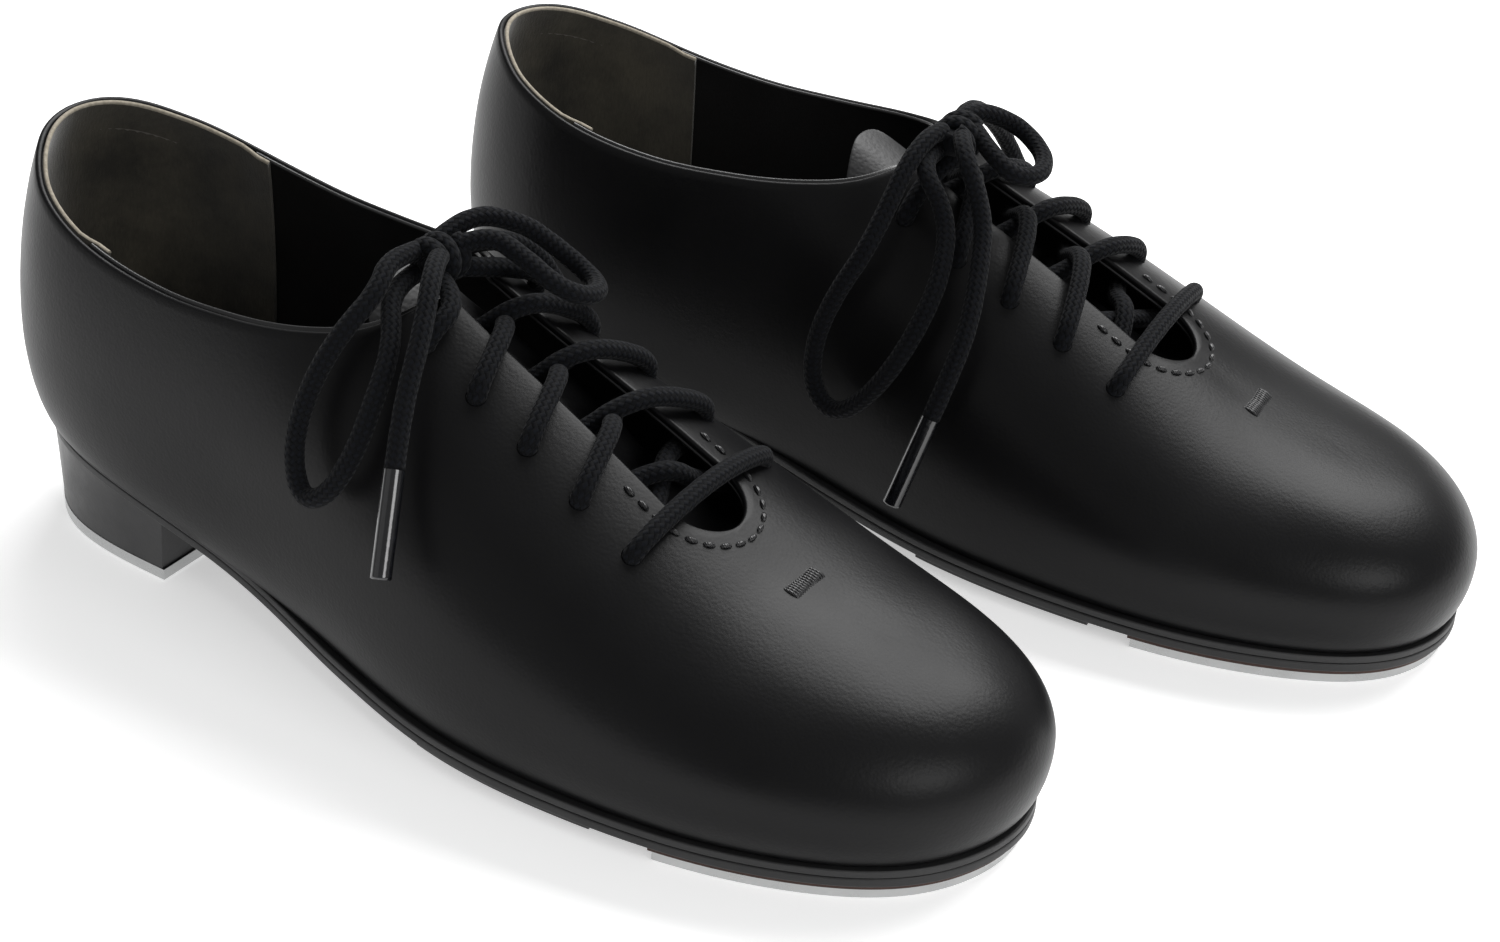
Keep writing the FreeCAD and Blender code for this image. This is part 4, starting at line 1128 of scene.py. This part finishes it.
# ---------------------------------------------------------------- laces
# Round braided cotton, 4.2 mm, blue-black, one lace to a shoe: a bar across the lowest pair
# of eyelets, then criss-cross up the throat, a knot and a bow. Each free end has a hard
# clear-over-black plastic tip.
lace_over = lace_diameter / 2 + 1.0
lace_under = flap + lace_diameter / 2 + lace_gap
# x, y and lift of the knot; -1 is the right shoe and 1 the left.
bows = {-1: (112.0, 3.5, 1.5), 1: (122.0, 4.0, 9.6)}
strand_step = 1.55
strands = 9
lace_step = 0.0006
knot_offset = 2.4


def lacing_points(s):
    """The threaded lace from the knot, down one zigzag, across the bar and up the other."""
    up, down = lace_over, -lace_under
    holes = [[eyelet(i, side) for i in range(eyelet_pairs)] for side in (-1, 1)]

    def half(first_side):
        pts = []
        side = first_side
        x, y = holes[(side + 1) // 2][0]
        pts += [(x, y, up), (x, y, down)]
        w = throat_half(x) - 2.5
        mid = (x + holes[(1 - side) // 2][1][0]) / 2
        pts += [(mid + 3.6, side * w, -5.9),
                (mid + 0.2, side * 0.05, -1.5 if first_side > 0 else -6.0),
                (mid - 3.6, -side * w, -5.9)]
        side = -side
        for i in range(1, eyelet_pairs):
            x, y = holes[(side + 1) // 2][i]
            pts += [(x, y, down), (x, y, up)]
            w = throat_half(x)
            if i < eyelet_pairs - 1:
                mid = (x + holes[(1 - side) // 2][i + 1][0]) / 2
                high = side > 0
                pts += [(mid + 3.1, side * (w - 1), 4.4 if high else 3.8),
                        (mid, side * 0.05, 1.9 if high else -2.9),
                        (mid - 2.6, -side * (w - 2.6), -5.9)]
                side = -side
        pts.append((last_eyelet_x + 0.8, side * 9.5, 4.6))
        return [on_top(a, b, c) for a, b, c in pts], side

    a, side_a = half(-1)
    b, side_b = half(1)
    c = knot_middle(s)
    a.append(c + Vector((knot_offset, side_a * 3.0, -knot_offset)))
    b.append(c + Vector((knot_offset, side_b * 3.0, -knot_offset)))
    bar = [on_top(first_eyelet_x + 0.6, y, lace_over + 0.5) for y in (-7.5, 7.5)]
    return a[::-1] + bar + b


def knot_middle(s):
    """The middle of the knot, above the instep."""
    x, y, lift = bows[s]
    return on_top(x, y * s, lift)


def bow_points(s):
    """Long loop, front tail, short loop and back tail; the long loop hangs on side s.

    A hanging point gives x, height share and lift, a lying one x, y and lift.
    """
    c = knot_middle(s)
    n = -s

    def at(dx, dy, dz, side):
        return c + Vector((dx, dy * side, dz))

    def hang(route):
        return [over(x, s, v, lift) for x, v, lift in route]

    def lie(route):
        return [on_top(x, y, lift) for x, y, lift in route]

    if s < 0:
        loop_a = [at(-3.5, 12, 4, s)] + hang([
            (109.5, 0.80, 8.5), (107.3, 0.705, 7), (106, 0.61, 6.4), (106.3, 0.52, 6.4),
            (111, 0.465, 6.4), (117.5, 0.50, 6.4), (120.8, 0.585, 6.3), (120, 0.675, 6.4),
            (117.5, 0.76, 6.6)]) + [at(-2, 14, -1.5, s)]
        tail_a = [at(7, 11, 5.5, s)] + hang([(122, 0.80, 11), (126.3, 0.70, 8),
                                             (130.5, 0.62, 6.8)])
        loop_b = [at(-1, 11, 6, n)] + lie([
            (115, 11.5, 10.5), (121, 14.5, 10.5), (127, 17, 10), (132.5, 16.5, 9.5),
            (136, 12.3, 9.5), (135.5, 7, 9.5), (130.8, 4, 10), (124.5, 3.5, 10.5)])
        loop_b += [at(6.5, 8, 5, n)]
        tail_b = [at(-4.5, 13, -3.0, n)] + [over(x, n, v, lift) for x, v, lift in
                                            ((112, 0.73, 8), (118, 0.61, 7), (123, 0.49, 6.8))]
    else:
        loop_a = [at(-4, 12, 4.8, s)] + hang([
            (118, 0.67, 9.5), (113.5, 0.56, 7), (110.5, 0.455, 6.5), (112, 0.375, 6.4),
            (119, 0.36, 6.4), (126.5, 0.43, 6.4), (131.8, 0.525, 6.4), (134.3, 0.62, 6.7),
            (134.5, 0.71, 8), (130, 0.80, 9.6)]) + [at(-3.6, 14, 0, s)]
        tail_a = [at(6, 12, 5.0, s)] + hang([(137, 0.83, 12), (141.5, 0.75, 9.5),
                                             (144.5, 0.66, 7.8), (144.5, 0.565, 7),
                                             (143, 0.475, 6.8)])
        loop_b = [at(0, 9, 4, n)] + lie([
            (127.5, -7.5, 13.3), (133.5, -7.8, 12.8), (138.8, -4.6, 12.5), (140.5, 1, 12.5),
            (137, 5.6, 12.8), (131, 5.4, 13.4)])
        tail_b = [at(-4.5, 13, 2.5, n)] + [over(x, n, v, lift) for x, v, lift in
                                           ((118, 0.73, 9), (124, 0.61, 7.5), (129, 0.49, 6.8))]
    o = knot_offset
    loop_a = [at(-o, 3, o, s)] + loop_a + [at(-o, 3, -o, s)]
    loop_b = [at(-o, 3, o, n)] + loop_b + [at(o, 3, o, n)]
    return loop_a, [at(o, 3, o, s)] + tail_a, loop_b, [at(-o, 3, -o, n)] + tail_b


def smooth_line(route):
    """Even points along the NURBS line of a route, and its length, in metres in the frame."""
    curve = bpy.data.curves.new("route", "CURVE")
    curve.dimensions = "3D"
    spline = curve.splines.new("NURBS")
    spline.points.add(len(route) - 1)
    for point, p in zip(spline.points, route):
        point.co = (p.x, p.y, p.z, 1)
    spline.order_u = 3
    spline.use_endpoint_u = True
    spline.resolution_u = 16
    holder = bpy.data.objects.new("route", curve)
    bpy.context.scene.collection.objects.link(holder)
    mesh = bpy.data.meshes.new_from_object(holder)
    line = np.array([v.co[:] for v in mesh.vertices])
    bpy.data.objects.remove(holder)
    at = np.concatenate([[0.0], np.cumsum(np.linalg.norm(np.diff(line, axis=0), axis=1))])
    spots = np.linspace(0, at[-1], max(8, int(at[-1] / lace_step)) + 1)
    even = np.stack([np.interp(spots, at, line[:, k]) for k in range(3)], axis=1)
    return [Vector(p) for p in even], float(at[-1])


# Braided cotton: two sets of strands crossing over each other round the lace, one a shade
# bluer than the other, with fuzz that softens the edge. The yarn's colour is darkened in the
# grooves between the strands, which is painted shade. The braid is drawn with 9 strands each
# way where the real one has 16, so that it shows.
lace_cotton, tree, where = start_material("braided_blue_black_cotton")
chart = add(tree, "UVMap", uv_map="braid")
parts_of = add(tree, "SeparateXYZ", {0: chart.outputs[0]})
leans = []
for operation in ("ADD", "SUBTRACT"):
    leans.append(add(tree, "Math", {0: parts_of.outputs["Y"], 1: parts_of.outputs["X"]},
                     operation=operation))
crowns, counts = [], []
for lean in leans:
    angle = add(tree, "Math", {0: lean.outputs[0], 1: math.pi}, operation="MULTIPLY")
    wave = add(tree, "Math", {0: angle.outputs[0]}, operation="SINE")
    crowns.append(add(tree, "Math", {0: wave.outputs[0]}, operation="ABSOLUTE"))
    counts.append(add(tree, "Math", {0: lean.outputs[0]}, operation="FLOOR"))
total = add(tree, "Math", {0: counts[0].outputs[0], 1: counts[1].outputs[0]}, operation="ADD")
on_top_now = add(tree, "Math", {0: total.outputs[0], 1: 2.0}, operation="FLOORED_MODULO")
height = add(tree, "MixRGB", {"Fac": on_top_now.outputs[0], "Color1": crowns[0].outputs[0],
                              "Color2": crowns[1].outputs[0]})
yarn = add(tree, "MixRGB", {"Fac": on_top_now.outputs[0], "Color1": linear("#08090c"),
                            "Color2": linear("#0d0f14")})
# Painted shade: the yarn colour is multiplied darker where the braid's height sinks into the
# grooves between strands.
painted_groove_shade = add(tree, "MapRange", {"Value": height.outputs[0], "To Min": 0.35, "To Max": 1.0})
yarn_with_painted_shade = add(tree, "MixRGB", {"Fac": 1.0, "Color1": yarn.outputs[0],
                              "Color2": painted_groove_shade.outputs[0]}, blend_type="MULTIPLY")
fuzz = add(tree, "TexNoise", {"Vector": where, "Scale": scale_for(0.4), "Detail": 3.0})
rough_height = add(tree, "MixRGB", {"Fac": 0.2, "Color1": height.outputs[0],
                                    "Color2": fuzz.outputs["Fac"]})
bumps = add(tree, "Bump", {
    "Height": rough_height.outputs[0], "Strength": 0.7, "Distance": 0.0003})
surface = add(tree, "BsdfPrincipled", {
    "Base Color": yarn_with_painted_shade.outputs[0], "Roughness": 0.85, "Specular IOR Level": 0.12,
    "Sheen Weight": 0.03, "Sheen Roughness": 0.5, "Normal": bumps.outputs[0]})
add(tree, "OutputMaterial", {"Surface": surface.outputs[0]})


def lace(name, line, diameter=lace_diameter):
    """A braided tube round an even line, in metres, with its braid chart."""
    around = 20
    radii = [diameter / 2000 * (1 + 0.012 * math.sin(i * 0.7)) for i in range(len(line))]
    points, faces = tube_along(line, radii, around)
    mesh = bpy.data.meshes.new(name)
    mesh.from_pydata(points, [], faces)
    mesh.polygons.foreach_set("use_smooth", [True] * len(mesh.polygons))
    chart = mesh.uv_layers.new(name="braid")
    step = (line[1] - line[0]).length * 1000 / strand_step
    for face in mesh.polygons:
        columns = [mesh.loops[i].vertex_index % around for i in face.loop_indices]
        wraps = max(columns) == around - 1 and min(columns) == 0 and len(columns) == 4
        for i, column in zip(face.loop_indices, columns):
            share = 1.0 if wraps and column == 0 else column / around
            ring_number = mesh.loops[i].vertex_index // around
            chart.data[i].uv = (ring_number * step, share * strands + 1000)
    mesh.materials.append(lace_cotton)
    piece = bpy.data.objects.new(name, mesh)
    bpy.context.scene.collection.objects.link(piece)
    return piece


# Lace tips: clear plastic shrunk over the black braid, glossy, with strands of 1.1 mm just
# showing.
aglet_plastic, tree, where = start_material("glossy_black_lace_tip")
ghost = add(tree, "TexVoronoi", {"Vector": where, "Scale": scale_for(1.11)})
tone = add(tree, "MixRGB", {"Fac": ghost.outputs["Distance"], "Color1": linear("#060607"),
                            "Color2": linear("#121317")})
bumps = add(tree, "Bump", {
    "Height": ghost.outputs["Distance"], "Strength": 0.1, "Distance": 0.0002})
surface = add(tree, "BsdfPrincipled", {
    "Base Color": tone.outputs[0], "Roughness": 0.16, "Coat Weight": 0.6,
    "Coat Roughness": 0.05, "Normal": bumps.outputs[0]})
add(tree, "OutputMaterial", {"Surface": surface.outputs[0]})
finish_node("aglet_front", aglet_plastic)
finish_node("aglet_back", aglet_plastic)

# The knot: two turns of slightly squeezed lace round a core of the lace's crossing runs.
knot_turns, knot_radius, knot_width, knot_lace = 2.1, 3.75, 7.0, 4.0
core_half, core_thickness = 5.2, 6.6
for left in (False, True):
    side = "left" if left else "right"
    s = 1 if left else -1
    body = side + "_shoe"
    line = smooth_line([place(p, left) for p in lacing_points(s)])[0]
    piece = lace(side + "_lace_through_eyelets", line)
    flex(piece)
    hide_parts(side + "_lace_threaded")
    loop_a, tail_a, loop_b, tail_b = bow_points(s)
    ends = [("long_loop", loop_a, "object", None), ("short_loop", loop_b, "object", None),
            ("front_tail", tail_a, "fitting", "aglet_front"),
            ("back_tail", tail_b, "fitting", "aglet_back")]
    for name, route, far_end, tip in ends:
        line, length = smooth_line([place(p, left) for p in route])
        piece = lace(side + "_bow_" + name, line)
        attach(piece, body)
        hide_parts(side + "_lace_" + name)
    c = knot_middle(s)
    wraps = []
    for i in range(90):
        t = i / 89
        angle = 2 * math.pi * (knot_turns * t + 0.1)
        wraps.append(c + Vector((knot_radius * math.cos(angle), knot_width * (t - 0.5),
                                 knot_radius * math.sin(angle))))
    piece = lace(side + "_knot_wraps", [place(p, left) for p in wraps], knot_lace)
    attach(piece, body)
    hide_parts(side + "_lace_knot")
    core = [c + Vector((0, 0.4 * i - core_half, 0)) for i in range(27)]
    piece = lace(side + "_knot_core", [place(p, left) for p in core], core_thickness)
    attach(piece, body)

# ---------------------------------------------------------------- final update
bpy.context.view_layer.update()
